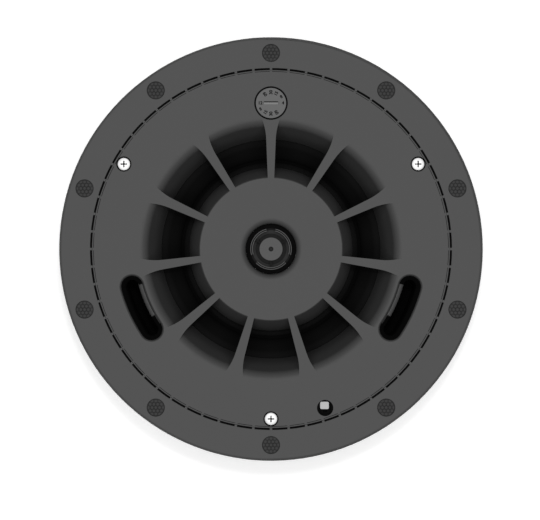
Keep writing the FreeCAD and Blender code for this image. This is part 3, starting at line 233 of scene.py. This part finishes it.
def surface_grain_group():
    """Colour = base * deep(z) * (1 + drift * (slow noise - 0.5) + speck * (fine noise - 0.5)).

    painted_shade(z) is painted shade: it rises smoothly from Deep Gain at Deep Z to 1 at Lit Z.
    """
    group, entry, leave = group_with(
        "surface_grain",
        [("Base", "NodeSocketColor", (0.1, 0.1, 0.1, 1.0)), ("Drift", "NodeSocketFloat", 0.1),
         ("Speck", "NodeSocketFloat", 0.2), ("Grain Scale", "NodeSocketFloat", 1500.0),
         ("Roughness", "NodeSocketFloat", 0.5), ("Roughness Spread", "NodeSocketFloat", 0.1),
         ("Deep Z", "NodeSocketFloat", -1.0), ("Lit Z", "NodeSocketFloat", -0.9),
         ("Deep Gain", "NodeSocketFloat", 1.0)],
        [("Color", "NodeSocketColor"), ("Roughness", "NodeSocketFloat"),
         ("Height", "NodeSocketFloat")])
    place = group.nodes.new("ShaderNodeTexCoord").outputs["Object"]
    slow = noise(group, place, DRIFT_SCALE, DRIFT_DETAIL)
    fine = noise(group, place, entry.outputs["Grain Scale"], GRAIN_DETAIL)
    slow_wander = add_math(group, "SUBTRACT", slow, 0.5)
    drift = add_math(group, "MULTIPLY", slow_wander, entry.outputs["Drift"])
    wander = add_math(group, "SUBTRACT", fine, 0.5)
    speck = add_math(group, "MULTIPLY", wander, entry.outputs["Speck"])
    parts = group.nodes.new("ShaderNodeSeparateXYZ")
    group.links.new(place, parts.inputs[0])
    painted_shade = group.nodes.new("ShaderNodeMapRange")
    painted_shade.interpolation_type = "SMOOTHSTEP"
    group.links.new(parts.outputs["Z"], painted_shade.inputs["Value"])
    group.links.new(entry.outputs["Deep Z"], painted_shade.inputs["From Min"])
    group.links.new(entry.outputs["Lit Z"], painted_shade.inputs["From Max"])
    group.links.new(entry.outputs["Deep Gain"], painted_shade.inputs["To Min"])
    painted_shade.inputs["To Max"].default_value = 1.0
    grain_gain = add_math(group, "ADD", add_math(group, "ADD", drift, speck), 1.0)
    gain = add_math(group, "MULTIPLY", grain_gain, painted_shade.outputs["Result"])
    tint = group.nodes.new("ShaderNodeVectorMath")
    tint.operation = "SCALE"
    group.links.new(entry.outputs["Base"], tint.inputs[0])
    group.links.new(gain, tint.inputs["Scale"])
    group.links.new(tint.outputs[0], leave.inputs["Color"])
    spread = add_math(group, "MULTIPLY", wander, entry.outputs["Roughness Spread"])
    roughness = add_math(group, "ADD", entry.outputs["Roughness"], spread)
    group.links.new(roughness, leave.inputs["Roughness"])
    group.links.new(fine, leave.inputs["Height"])
    return group


surface_grain = surface_grain_group()
print("shader groups:", [g.name for g in bpy.data.node_groups])

# %% [markdown]
# A finish is the Principled shader fed by that group. The same function makes plastics, paints,
# rubber and metals; only the numbers differ. Numbers that are the same all over a surface, such as
# a metal's Metallic, are set straight on the shader. The rows whose names end in PAINTED_SHADE are
# painted shade: they say between which two heights a finish darkens, or lightens, and to what share
# of its colour.

# %% Finishes


def finish(name, base, roughness=0.5, grain_scale=1500.0, drift=0.08, speck=0.15, spread=0.08,
           bump=0.00002, metallic=0.0, specular=0.5, sheen=0.0, painted_shade=None):
    """Material with surface_grain on colour, roughness and a bump of the given depth in metres.

    painted_shade is painted shade by height: (lower height, upper height, colour gain at and under
    the lower height).
    """
    material = bpy.data.materials.new(name)
    material.use_nodes = True
    tree = material.node_tree
    shader = tree.nodes["Principled BSDF"]
    grain = tree.nodes.new("ShaderNodeGroup")
    grain.node_tree = surface_grain
    grain.inputs["Base"].default_value = (*base, 1.0)
    grain.inputs["Drift"].default_value = drift
    grain.inputs["Speck"].default_value = speck
    grain.inputs["Grain Scale"].default_value = grain_scale
    grain.inputs["Roughness"].default_value = roughness
    grain.inputs["Roughness Spread"].default_value = spread
    for label, value in zip(("Deep Z", "Lit Z", "Deep Gain"), painted_shade or ()):
        grain.inputs[label].default_value = value
    relief = tree.nodes.new("ShaderNodeBump")
    relief.inputs["Strength"].default_value = 1.0
    relief.inputs["Distance"].default_value = bump
    tree.links.new(grain.outputs["Color"], shader.inputs["Base Color"])
    tree.links.new(grain.outputs["Roughness"], shader.inputs["Roughness"])
    tree.links.new(grain.outputs["Height"], relief.inputs["Height"])
    tree.links.new(relief.outputs["Normal"], shader.inputs["Normal"])
    shader.inputs["Metallic"].default_value = metallic
    shader.inputs["Specular IOR Level"].default_value = specular
    shader.inputs["Sheen Weight"].default_value = sheen
    return material


def grey(level, warm=0.0):
    """Nearly neutral linear colour."""
    return (level * (1 + warm), level, level * (1 - warm))


guard_low, guard_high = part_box("tweeter_guard")
surround_low, surround_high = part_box("woofer_surround")
# Painted shade: the front moulding darkens down its bell and hub flank, the magnet covers in the
# grooves between their cells, the tweeter guard below its lips, the surround down its roll and the
# port's light strip down the funnel. The cone's row draws its rim by the surround at a third of the
# grey of the cone below it.
BELL_PAINTED_SHADE = (-22.0 * MM, -6.0 * MM, 0.55)
MAGNET_PAINTED_SHADE = (face_z - 0.35 * MM, face_z, 0.40)
GUARD_PAINTED_SHADE = (guard_high.z - 0.9 * MM, guard_high.z - 0.3 * MM, 0.10)
SURROUND_PAINTED_SHADE = (surround_high.z - 0.45 * MM, surround_high.z, 0.5)
INNER_WALL_PAINTED_SHADE = (face_z - 7.4 * MM, face_z - 4.5 * MM, 0.45)
CONE_PAINTED_SHADE = (surround_low.z - 1.0 * MM, surround_low.z + 0.3 * MM, 3.2)

finish_table = {
    "front_moulding": dict(base=grey(0.0405), roughness=0.62, grain_scale=1400.0, drift=0.05,
                           speck=0.10, spread=0.10, specular=0.3, painted_shade=BELL_PAINTED_SHADE),
    "magnet_cover": dict(base=grey(0.027), roughness=0.7, grain_scale=2500.0, drift=0.05, speck=0.2,
                         specular=0.2, painted_shade=MAGNET_PAINTED_SHADE),
    "zinc_screw": dict(base=grey(0.88), roughness=0.45, grain_scale=900.0, drift=0.04, speck=0.10,
                       spread=0.12, bump=0.00001, metallic=0.25),
    "rear_screw": dict(base=grey(0.05), roughness=0.4, grain_scale=900.0, drift=0.1, speck=0.2,
                       metallic=1.0),
    "insert_brass": dict(base=(0.72, 0.50, 0.20), roughness=0.3, grain_scale=900.0, drift=0.1,
                         metallic=1.0),
    "clamp_plastic": dict(base=grey(0.030), roughness=0.55, grain_scale=900.0, drift=0.1,
                          speck=0.25, bump=0.00004),
    "dial_face": dict(base=grey(0.075), roughness=0.6, grain_scale=1800.0, drift=0.05, speck=0.12,
                      specular=0.35),
    "dial_mark": dict(base=grey(0.14), roughness=0.6, grain_scale=1800.0, drift=0.05, speck=0.12,
                      specular=0.35),
    "switch_black": dict(base=grey(0.003), roughness=0.9, grain_scale=900.0, specular=0.03),
    "knob_grey": dict(base=grey(0.38), roughness=0.6, grain_scale=900.0, drift=0.05, speck=0.08,
                      specular=0.3),
    "guard_plastic": dict(base=grey(0.078), roughness=0.8, grain_scale=1400.0, specular=0.08,
                          painted_shade=GUARD_PAINTED_SHADE),
    "dome_film": dict(base=grey(0.009), roughness=0.6, grain_scale=3000.0, drift=0.1, speck=0.2,
                      specular=0.15),
    "coil_copper": dict(base=(0.60, 0.22, 0.08), roughness=0.3, grain_scale=4000.0, metallic=1.0),
    "steel_plate": dict(base=grey(0.55), roughness=0.35, grain_scale=700.0, metallic=1.0),
    "ferrite": dict(base=grey(0.035), roughness=0.55, grain_scale=500.0, drift=0.2, speck=0.35),
    "basket_steel": dict(base=grey(0.020), roughness=0.45, grain_scale=700.0, drift=0.1, speck=0.2),
    "surround_rubber": dict(base=grey(0.0040), roughness=0.9, grain_scale=1200.0, drift=0.1,
                            speck=0.2, specular=0.05, painted_shade=SURROUND_PAINTED_SHADE),
    "cone_fibre": dict(base=grey(0.0022), roughness=0.9, grain_scale=500.0, drift=0.2, speck=0.5,
                       bump=0.00008, specular=0.05, painted_shade=CONE_PAINTED_SHADE),
    "former_film": dict(base=(0.35, 0.17, 0.04), roughness=0.3, grain_scale=800.0),
    "spider_cloth": dict(base=(0.42, 0.22, 0.06), roughness=0.85, grain_scale=2500.0, drift=0.1,
                         speck=0.4, bump=0.00008, sheen=0.2),
    "foam_gasket": dict(base=grey(0.022), roughness=0.9, grain_scale=1800.0, drift=0.1, speck=0.6,
                        bump=0.00012),
    "can_paint": dict(base=grey(0.045), grain_scale=450.0, drift=0.06, speck=0.18, spread=0.15,
                      bump=0.00007),
    "duct_plastic": dict(base=grey(0.006), roughness=0.6, grain_scale=1200.0, specular=0.1),
    "port_film": dict(base=grey(0.115), roughness=0.6, grain_scale=1400.0, drift=0.05, speck=0.10,
                      specular=0.3, painted_shade=INNER_WALL_PAINTED_SHADE),
    "terminal_plastic": dict(base=grey(0.018), grain_scale=1100.0),
    "plug_plastic": dict(base=(0.02, 0.20, 0.06), roughness=0.4, grain_scale=900.0),
    "lamination": dict(base=grey(0.16), grain_scale=700.0, metallic=0.6),
    "bobbin_wrap": dict(base=(0.55, 0.32, 0.04), roughness=0.4, grain_scale=900.0),
    "board_fibre": dict(base=(0.01, 0.09, 0.03), roughness=0.4, grain_scale=900.0),
    "spacer_nylon": dict(base=grey(0.65, 0.04), grain_scale=900.0),
    "choke_wire": dict(base=(0.62, 0.25, 0.09), roughness=0.3, grain_scale=3000.0, metallic=1.0),
    "capacitor_film": dict(base=(0.40, 0.22, 0.02), roughness=0.35, grain_scale=900.0),
}
finishes = {name: finish(name, **values) for name, values in finish_table.items()}

node_slots = {entry["node"]: entry["material_slot"] for entry in frame["record"]["subparts"]}
for node_name, node in nodes.items():
    node.data.materials.clear()
    node.data.materials.append(finishes[node_slots[node_name]])
print(len(finishes), "finishes on", len(node_slots), "nodes")

# %% [markdown]
# Every piece made below is a mesh with one finish and a body that it rides with. Most are grids
# that close round an axis, so their quads come from one function as well.

# %% Pieces


def add_piece(name, points, faces, finish_name, body="root"):
    """Object of points and faces with the named finish, riding with the given body unless body is
    empty.
    """
    mesh = bpy.data.meshes.new(name)
    mesh.from_pydata(np.asarray(points).tolist(), [], faces)
    mesh.materials.append(finishes[finish_name])
    piece = bpy.data.objects.new(name, mesh)
    scene.collection.objects.link(piece)
    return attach(piece, body) if body else piece


def ring_xy(radius, angle):
    """Points (x, y) at a clockwise angle from +Y: x = r sin(a), y = r cos(a)."""
    return np.stack(np.broadcast_arrays(radius * np.sin(angle), radius * np.cos(angle)), axis=-1)


def with_height(flat, height):
    """Points (x, y, z) as rows, from an array of (x, y) and heights that broadcast with it."""
    z = np.broadcast_to(height, flat.shape[:-1])
    return np.concatenate([flat, z[..., None]], axis=-1).reshape(-1, 3)


def round_quads(rows, columns):
    """Quads between neighbouring rows of a grid whose columns close round."""
    row, column = np.meshgrid(np.arange(rows - 1), np.arange(columns), indexing="ij")
    here = row * columns + column
    right = row * columns + (column + 1) % columns
    return np.stack([here, right, right + columns, here + columns], axis=-1).reshape(-1, 4)


# %% [markdown]
# The rubber surround rolls from its clamped lip down to the cone, and the cone moves. A surface
# made from one profile carried round the axis is all it takes: the profile's points are worked out
# once, and numpy turns them through every angle at once. It is clamped at one end and moves with
# the cone at the other; here it is one fixed sheet. The corrugated spider that centres the voice
# coil is made in the same way.

# %% Surfaces of revolution


def revolve(name, profile, steps, thickness, finish_name):
    """Sheet x = r sin(a), y = r cos(a), z: every profile point (r, z) at every angle a."""
    radius, height = np.asarray(profile).T[..., None]
    angles = np.linspace(0.0, 2 * np.pi, steps, endpoint=False)
    points = with_height(ring_xy(radius, angles), height)
    faces = round_quads(len(profile), steps).tolist()
    piece = add_piece(name, points, faces, finish_name, body=None)
    piece.data.shade_smooth()
    tidy = bmesh.new()
    tidy.from_mesh(piece.data)
    bmesh.ops.recalc_face_normals(tidy, faces=tidy.faces)
    tidy.to_mesh(piece.data)
    tidy.free()
    wall = piece.modifiers.new("wall", "SOLIDIFY")
    wall.thickness = thickness
    wall.offset = 0.0
    return piece


RUBBER = 0.5 * MM
LIP_WIDTH = 4.0 * MM
CONE_OVERLAP = 2 * MM
ROLL_POINTS = 14
SURROUND_STEPS = 128
lip_radius = surround_high.x
roll_outer = lip_radius - LIP_WIDTH
cone_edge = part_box("woofer_cone")[1].x
clamped_z = surround_high.z - RUBBER / 2
glued_z = surround_low.z + RUBBER / 2
sweep = np.linspace(0.0, np.pi / 2, ROLL_POINTS)
roll = np.stack([cone_edge + (roll_outer - cone_edge) * (1 - np.sin(sweep)),
                 glued_z + (clamped_z - glued_z) * np.cos(sweep)], axis=-1)
surround_profile = np.concatenate(
    [[(lip_radius - RUBBER / 2, clamped_z)], roll, [(cone_edge - CONE_OVERLAP, glued_z)]])
surround = revolve("surround", surround_profile, SURROUND_STEPS, RUBBER, "surround_rubber")
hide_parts("woofer_surround")
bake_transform(surround)

spider_low, spider_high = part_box("spider")
former_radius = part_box("coil_former")[1].x
CLOTH = 0.5 * MM
SPIDER_WAVES = 3
WAVE_HEIGHT = 0.55 * MM
SPIDER_INSET = 0.1 * MM
SPIDER_FLAT = 0.12
SPIDER_CLIMB = 0.8
SPIDER_POINTS = 61
SPIDER_STEPS = 96
spider_radii = np.linspace(spider_high.x - SPIDER_INSET, former_radius, SPIDER_POINTS)
along = (spider_high.x - spider_radii) / (spider_high.x - former_radius)
rise = np.clip((along - SPIDER_FLAT) / SPIDER_CLIMB, 0.0, 1.0)
spider_heights = (spider_low.z + CLOTH / 2 + rise * (spider_high.z - spider_low.z - CLOTH)
                  - WAVE_HEIGHT * np.sin(rise * SPIDER_WAVES * 2 * np.pi))
spider_profile = np.stack([spider_radii, spider_heights], axis=-1)
spider = revolve("spider_disc", spider_profile, SPIDER_STEPS, CLOTH, "spider_cloth")
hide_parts("spider")
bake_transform(spider)
print("surround spans", round((surround_high.z - surround_low.z) / MM, 1), "mm of height")

# %% [markdown]
# Each grille magnet sits under a round cover with a honeycomb relief. The cover is one grid in
# radius and angle. Its height is a function of the place alone: for each point the distance to the
# nearest cell centre of a honeycomb says whether it lies on a raised cell or in the groove. The
# cell rises to its full height over CELL_EDGE, a share of the honeycomb's pitch.

# %% Magnet covers
CELL_PITCH = 2.3 * MM
CELL_RELIEF = 0.35 * MM
CELL_EDGE = 0.36 / 2.2
COVER_RINGS = 34
COVER_STEPS = 90
COVER_RIM = 0.93


def honeycomb(x, y, pitch):
    """Distance to the nearest hexagon edge, 0.5 in a cell's centre and 0 on its edge."""
    row_height = pitch * math.sqrt(3) / 2
    best = np.full(x.shape, -1.0)
    for row_shift in (0, 1):
        v = np.round((y / row_height - row_shift) / 2) * 2 + row_shift
        u = np.round(x / pitch - row_shift / 2) + row_shift / 2
        dx = np.abs(x - u * pitch) / pitch
        dy = np.abs(y - v * row_height) / pitch
        reach = np.maximum(dx, dx * 0.5 + dy * math.sqrt(3) / 2)
        best = np.maximum(best, 0.5 - reach)
    return best


def magnet_cover(node_name):
    """Disc with raised cells in a low rim: z = top - relief * (1 - smooth step of the distance)."""
    low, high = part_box(node_name)
    centre = (low + high) / 2
    radius = (high.x - low.x) / 2
    reach = np.linspace(0.0, 1.0, COVER_RINGS)[1:, None]
    flat = ring_xy(radius * reach, np.linspace(0.0, 2 * np.pi, COVER_STEPS, endpoint=False))
    raised = np.clip(honeycomb(flat[..., 0], flat[..., 1], CELL_PITCH) / CELL_EDGE, 0.0, 1.0)
    raised = np.where(reach > COVER_RIM, 0.0, raised * raised * (3 - 2 * raised))
    flat = flat + (centre.x, centre.y)
    face = with_height(flat, high.z - CELL_RELIEF * (1 - raised))
    skirt = with_height(flat[-1], low.z)
    middle = [(centre.x, centre.y, high.z), (centre.x, centre.y, low.z)]
    here = np.arange(COVER_STEPS)
    right = (here + 1) % COVER_STEPS
    tip, last = len(face) + len(skirt), len(face)
    lid = np.stack([right, here, 0 * here + tip], axis=-1)
    base = np.stack([last + here, last + right, 0 * here + tip + 1], axis=-1)
    faces = round_quads(COVER_RINGS, COVER_STEPS).tolist() + lid.tolist() + base.tolist()
    points = np.concatenate([face, skirt, middle])
    piece = add_piece(node_name + "_cover", points, faces, "magnet_cover")
    piece.data.shade_smooth()
    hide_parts(node_name)
    return piece


magnet_nodes = sorted(name for name in nodes if name.startswith("grille_magnet"))
covers = [magnet_cover(name) for name in magnet_nodes]
print(len(covers), "covers of", len(covers[0].data.polygons), "faces")

# %% [markdown]
# The dial is printed with two rows of plain numbers, one on each side of its slot. They read along
# the radius, outwards on the right and inwards on the left. Small lettering is easiest as text
# objects turned into meshes: each is placed in its own mesh, a hair above the dial's face.

# %% Dial numbers
NUMBER_HEIGHT = 2.7 * MM
NUMBER_LIFT = 0.02 * MM
NUMBER_BOLD = 0.1 * MM
DIAL_NUMBERS = {325: "60", 0: "30", 29: "15", 59: "8", 90: "4",
                150: "60", 180: "30", 210: "15", 240: "8", 270: "12"}
RING_OF_TWO = 6.6 * MM
RING_OF_ONE = 7.4 * MM

dial_low, dial_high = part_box("tap_dial_rotor")
dial_centre = (dial_low + dial_high) / 2


def dial_number(label, angle):
    """Flat digits in one mesh, reading along the radius at a clockwise angle from +Y."""
    curve = bpy.data.curves.new("digit", "FONT")
    curve.body = label
    curve.size = NUMBER_HEIGHT
    curve.align_x = "CENTER"
    curve.align_y = "CENTER"
    curve.offset = NUMBER_BOLD
    curve.extrude = NUMBER_LIFT
    holder = bpy.data.objects.new("digit", curve)
    scene.collection.objects.link(holder)
    bpy.context.view_layer.update()
    shape = holder.evaluated_get(bpy.context.evaluated_depsgraph_get())
    mesh = bpy.data.meshes.new_from_object(shape)
    bpy.data.objects.remove(holder)
    flat = np.empty(len(mesh.vertices) * 3, np.float32)
    mesh.vertices.foreach_get("co", flat)
    flat = flat.reshape(-1, 3)
    outward = 1.0 if angle < 180 else -1.0
    ring = RING_OF_TWO if len(label) > 1 else RING_OF_ONE
    along = flat[:, 0] * outward + ring
    across = -flat[:, 1] * outward
    heading = math.radians(angle)
    placed = ring_xy(along, heading) + ring_xy(across, heading + math.pi / 2)
    placed = with_height(placed + (dial_centre.x, dial_centre.y), flat[:, 2] + dial_high.z)
    return placed, [tuple(p.vertices) for p in mesh.polygons]


number_points, number_faces = [], []
offset = 0
for angle, label in DIAL_NUMBERS.items():
    points, faces = dial_number(label, angle)
    number_points.append(points)
    number_faces += [tuple(index + offset for index in face) for face in faces]
    offset += len(points)
number_points = np.concatenate(number_points)
add_piece("dial_numbers", number_points, number_faces, "switch_black", body="dial")
print("dial numbers:", len(number_faces), "faces")

# %% [markdown]
# The dial's slot carries painted light and painted shade: a light strip on its floor stands in for
# the lit floor, and a black strip along its upper wall is a painted shadow. Both are thin flat
# strips on the slot's floor.

# %% Dial slot
SLOT_DEPTH = 0.9 * MM
SLOT_STRAIGHT = 4.3 * MM
STRIP_THICKNESS = 0.05 * MM
SLOT_STRIPS = {"slot_painted_shadow": (0.48, 1.03, "switch_black", "switch_black"),
               "slot_painted_light": (-0.85, 0.45, "dial_face", "dial_mark")}


def box_mesh(low, high):
    """Corners and faces of a box.

    Corner k takes the high x, y or z where bit 0, 1 or 2 of k is set.
    """
    k = np.arange(8)
    upper = np.stack([k & 1, k >> 1 & 1, k >> 2], axis=-1) > 0
    faces = [(0, 2, 3, 1), (4, 5, 7, 6), (0, 1, 5, 4), (2, 6, 7, 3), (0, 4, 6, 2), (1, 3, 7, 5)]
    return np.where(upper, high, low), faces


slot_floor = dial_high.z - SLOT_DEPTH
# A painted shadow strip and a painted light strip on the slot's floor.
for strip_name, (strip_low, strip_high, strip_slot, strip_finish) in SLOT_STRIPS.items():
    corners, sides = box_mesh(
        (dial_centre.x - SLOT_STRAIGHT, dial_centre.y + strip_low * MM,
         slot_floor - STRIP_THICKNESS),
        (dial_centre.x + SLOT_STRAIGHT, dial_centre.y + strip_high * MM,
         slot_floor + STRIP_THICKNESS))
    add_piece(strip_name, corners, sides, strip_finish, body="dial")

# %% [markdown]
# Thin black bands paint shade on the front. A painted shadow line runs inside the seam, broken
# where the ring's teeth bridge it, and a black band is painted shade on the seam's bottom. A black
# felt ring lies round the tweeter's guard at the bottom of its bore, and its black also stands in
# for the shade there. A black band in the slit round the dome's rim is painted shade that closes
# the slit. All are bands: a flat or boxy section carried round an upright axis, either in strips
# with two ends or all the way round.

# %% Bands round an axis
TEETH = 64
TOOTH_WIDTH = 1.5 * MM
HAIRLINE_RADIUS = 108.85 * MM
HAIRLINE_WIDTH = 0.30 * MM
HAIRLINE_LIFT = 0.015 * MM
SEAM_RADII = (109.85 * MM, 110.95 * MM)
SEAM_DROP = 3.0 * MM
SEAM_SHADE_HEIGHT = 0.5 * MM
FELT_INNER = 12.8 * MM
FELT_LIFT = 1.4 * MM
FELT_HEIGHT = 0.8 * MM
DOME_SHADE_WIDTH = 0.1 * MM
DOME_SHADE_HEIGHT = 0.3 * MM
HAIRLINE_STOPS = 7
SEAM_STEPS = 256
BORE_STEPS = 96


def band(name, inner, outer, low, high, angles, closed, centre=(0.0, 0.0)):
    """Black band: the corners (r, z) of a boxy section at every angle, x = r sin(a), y = r cos(a).

    Each row of angles is one strip. inner is one radius, or one for each angle.
    """
    strips, stops = angles.shape
    near = np.broadcast_to(inner, angles.shape)
    far = np.broadcast_to(outer, angles.shape)
    flat = ring_xy(np.stack([near, far, far, near], axis=-1), angles[..., None])
    points = with_height(flat + (centre[0], centre[1]), (high, high, low, low))
    gaps = stops if closed else stops - 1
    stop, corner = np.meshgrid(np.arange(gaps), np.arange(4), indexing="ij")
    here = stop * 4 + corner
    side = stop * 4 + (corner + 1) % 4
    ahead = ((stop + 1) % stops - stop) * 4
    quads = np.stack([here, here + ahead, side + ahead, side], axis=-1).reshape(-1, 4)
    if not closed:
        quads = np.concatenate([quads, [np.arange(4), 4 * stops - 1 - np.arange(4)]])
    quads = (quads + np.arange(strips)[:, None, None] * stops * 4).reshape(-1, 4)
    return add_piece(name, points, quads.tolist(), "switch_black")


def full_turn(steps):
    """One row of angles all the way round."""
    return np.linspace(0.0, 2 * np.pi, steps, endpoint=False)[None, :]


half_tooth = TOOTH_WIDTH / 2 / HAIRLINE_RADIUS
tooth_turn = 2 * np.pi / TEETH
tooth_angles = tooth_turn * np.arange(TEETH)[:, None]
# Painted shadow line inside the seam.
band("seam_painted_shadow_line", HAIRLINE_RADIUS - HAIRLINE_WIDTH / 2, HAIRLINE_RADIUS + HAIRLINE_WIDTH / 2,
     face_z - HAIRLINE_LIFT, face_z + HAIRLINE_LIFT,
     tooth_angles + np.linspace(half_tooth, tooth_turn - half_tooth, HAIRLINE_STOPS),
     closed=False)
# Painted shade on the seam's bottom.
seam_floor = face_z - SEAM_DROP
band("seam_painted_shade", *SEAM_RADII, seam_floor, seam_floor + SEAM_SHADE_HEIGHT, full_turn(SEAM_STEPS),
     closed=True)
# Black felt ring, whose black is also painted shade at the bottom of the bore.
felt_low = guard_low.z + FELT_LIFT
band("felt_ring", FELT_INNER, guard_high.x, felt_low, felt_low + FELT_HEIGHT,
     full_turn(BORE_STEPS), closed=True)
# Painted shade: a black band closing the slit round the dome's rim.
dome_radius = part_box("tweeter_dome")[1].x
band("dome_slit_painted_shade", dome_radius, dome_radius + DOME_SHADE_WIDTH, guard_low.z, guard_low.z + DOME_SHADE_HEIGHT,
     full_turn(BORE_STEPS), closed=True)
print("hairline strips:", TEETH)

# %% [markdown]
# Thin black sheets paint shade into the front's openings. A black band is painted shade in the
# corners between the round switch window and the square switch, and a black ring is painted shade
# round each clamp screw's head in its counterbore. Both are bands, and the inner edge of the
# window's band is a function of the angle.
#
# Each port is a long curved bean. A black strip is painted shade on the outer wall and the ends of
# its funnel: a sheet between two curves, the bean's outline high and low in the funnel. A lighter
# strip on the inner wall, made in the same way, is painted light, and a black strip at its lower
# end is painted shade. And a black sheet across the far end of each duct is painted shade, so that
# nothing shows through it.

# %% Painted shade and light in the window, the screw seats and the ports
WINDOW_RADIUS = 4.95 * MM
WINDOW_HALF = (3.75 * MM, 4.1 * MM)
WINDOW_LEVEL = face_z - 1.95 * MM
WINDOW_SHADE_THICKNESS = 0.15 * MM
WINDOW_SHADE_NARROWEST = 0.05 * MM
COUNTERBORE_RADIUS = 4.62 * MM
HEAD_GAP = -0.2 * MM
RING_DEPTH = (2.75 * MM, 0.55 * MM)
PORT_ANGLES = (114.5, 245.5)
PORT_HALF_ANGLE = 9.35
PORT_HIGH = (88.3 * MM, 6.72 * MM, face_z - 1.35 * MM)
PORT_LOW = (88.4 * MM, 4.25 * MM, face_z - 6.9 * MM)
INNER_WALL_HIGH = (82.25 * MM, face_z - 2.9 * MM)
INNER_WALL_LOW = (84.35 * MM, face_z - 7.4 * MM)
INNER_WALL_SPANS = (("film", (-10.0, 5.0), "port_film", "front_moulding"),
              ("felt", (5.0, 9.35), "switch_black", "switch_black"))
INNER_WALL_STOPS = 16
PORT_END_STOPS = 20
WINDOW_STEPS = 96
HEAD_STEPS = 48
PORT_END_LIFT = 0.5 * MM
PORT_END_RIM = (88.4 * MM, 4.3 * MM)
SHEET_THICKNESS = 0.15 * MM


def window_edge(angle):
    """Distance to the square switch's edge, kept inside the window."""
    across, along = abs(np.sin(angle)) + 1e-9, abs(np.cos(angle)) + 1e-9
    square = np.minimum(WINDOW_HALF[0] / across, WINDOW_HALF[1] / along)
    return np.minimum(square, WINDOW_RADIUS - WINDOW_SHADE_NARROWEST)


def bean_path(mid_radius, half_width, angle, steps=10):
    """Outer side and both round ends of a curved slot, as rows (x, y) from one end to the other.

    A point is mid_radius along its base angle plus half_width along its heading. The base stays at
    an end while the heading turns half round, and both run along the outer side together.
    """
    first, last = np.radians(angle - PORT_HALF_ANGLE), np.radians(angle + PORT_HALF_ANGLE)
    along = np.linspace(first, last, 2 * steps)
    turn = np.linspace(0.0, np.pi, steps)[1:]
    base = np.concatenate([0 * turn + first, along, 0 * turn + last])
    heading = np.concatenate([first - turn[::-1], along, last + turn])
    return ring_xy(mid_radius, base) + ring_xy(half_width, heading)


def thin_sheet(piece):
    """Gives a surface the thickness of a thin sheet."""
    sheet = piece.modifiers.new("sheet", "SOLIDIFY")
    sheet.thickness = SHEET_THICKNESS
    sheet.offset = 0.0


def painted_sheet(name, rim, foot, finish_name):
    """Thin sheet between two curves of as many points each."""
    k = np.arange(len(rim) - 1)
    quads = np.stack([k, k + 1, k + 1 + len(rim), k + len(rim)], axis=-1)
    points = np.concatenate([rim, foot])
    thin_sheet(add_piece(name, points, quads.tolist(), finish_name))


clamp_screws = sorted(name for name in nodes if name.startswith("clamp_screw"))
switch_low, switch_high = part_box("slide_switch_body")
window_angles = full_turn(WINDOW_STEPS)
# Painted shade in the window's corners.
band("window_painted_shade", window_edge(window_angles), WINDOW_RADIUS, WINDOW_LEVEL,
     WINDOW_LEVEL + WINDOW_SHADE_THICKNESS, window_angles, True, (switch_low + switch_high) / 2)
# Painted shade: a black ring round each clamp screw's head in its counterbore.
for name in clamp_screws:
    screw_low, screw_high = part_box(name)
    band(name + "_ring", (screw_high.x - screw_low.x) / 2 + HEAD_GAP, COUNTERBORE_RADIUS,
         face_z - RING_DEPTH[0], face_z - RING_DEPTH[1], full_turn(HEAD_STEPS), True,
         (screw_low + screw_high) / 2)
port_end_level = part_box("port_tube_1")[0].z + PORT_END_LIFT
for side, angle, turn in zip("ab", PORT_ANGLES, (1, -1)):
    rim, foot = (with_height(bean_path(radius, half, angle), height)
                 for radius, half, height in (PORT_HIGH, PORT_LOW))
    # Painted shade on the funnel's outer wall and ends.
    painted_sheet("port_painted_shade_" + side, rim, foot, "switch_black")
    # Painted light on the inner wall's light strip, and painted shade on the black strip at its
    # lower end.
    for label, span, sheet_finish, sheet_slot in INNER_WALL_SPANS:
        wall_angles = np.radians(angle + turn * np.linspace(*span, INNER_WALL_STOPS))
        rim, foot = (with_height(ring_xy(radius, wall_angles), height)
                     for radius, height in (INNER_WALL_HIGH, INNER_WALL_LOW))
        painted_sheet("port_%s_%s" % (label, side), rim, foot, sheet_finish)
    # Painted shade: a black sheet across the far end of the duct.
    inner_turns = np.linspace(PORT_HALF_ANGLE, -PORT_HALF_ANGLE, PORT_END_STOPS)[1:-1]
    inner_side = ring_xy(PORT_END_RIM[0] - PORT_END_RIM[1], np.radians(angle + inner_turns))
    outline = np.concatenate([bean_path(*PORT_END_RIM, angle), inner_side])
    whole = [list(range(len(outline)))]
    points = with_height(outline, port_end_level)
    thin_sheet(add_piece("port_end_painted_shade_" + side, points, whole, "switch_black"))

# %% [markdown]
# A cross recess in bright zinc looks dark in its depth, where the light only comes in by many
# bounces. A dark cross low in each recess paints that shade. It is two crossed bars, a little
# narrower than the recess, that stop well under the head's crown.

# %% Screw recesses
RECESS_REACH = 1.97 * MM
RECESS_HALF = 0.42 * MM
RECESS_DEPTH = 1.48 * MM
RECESS_TOP = 0.32 * MM


def cross_prism(centre, low, high):
    """Twelve-cornered cross outline, clockwise seen from above, carried from low to high."""
    reach, half = RECESS_REACH, RECESS_HALF
    quarter = np.array([(half, reach), (half, half), (reach, half)])
    turned = quarter[:, ::-1] * (1, -1)
    outline = np.concatenate([quarter, turned, -quarter, -turned]) + (centre.x, centre.y)
    count = len(outline)
    here = np.arange(count)
    right = (here + 1) % count
    sides = np.stack([here, here + count, right + count, right], axis=-1).tolist()
    ends = [here.tolist(), (here[::-1] + count).tolist()]
    return np.concatenate([with_height(outline, low), with_height(outline, high)]), sides + ends


# Painted shade: a dark cross low in each screw's recess.
for name in clamp_screws:
    screw_low, screw_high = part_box(name)
    points, faces = cross_prism((screw_low + screw_high) / 2, screw_high.z - RECESS_DEPTH,
                                screw_high.z - RECESS_TOP)
    add_piece(name + "_recess_painted_shade", points, faces, "switch_black")
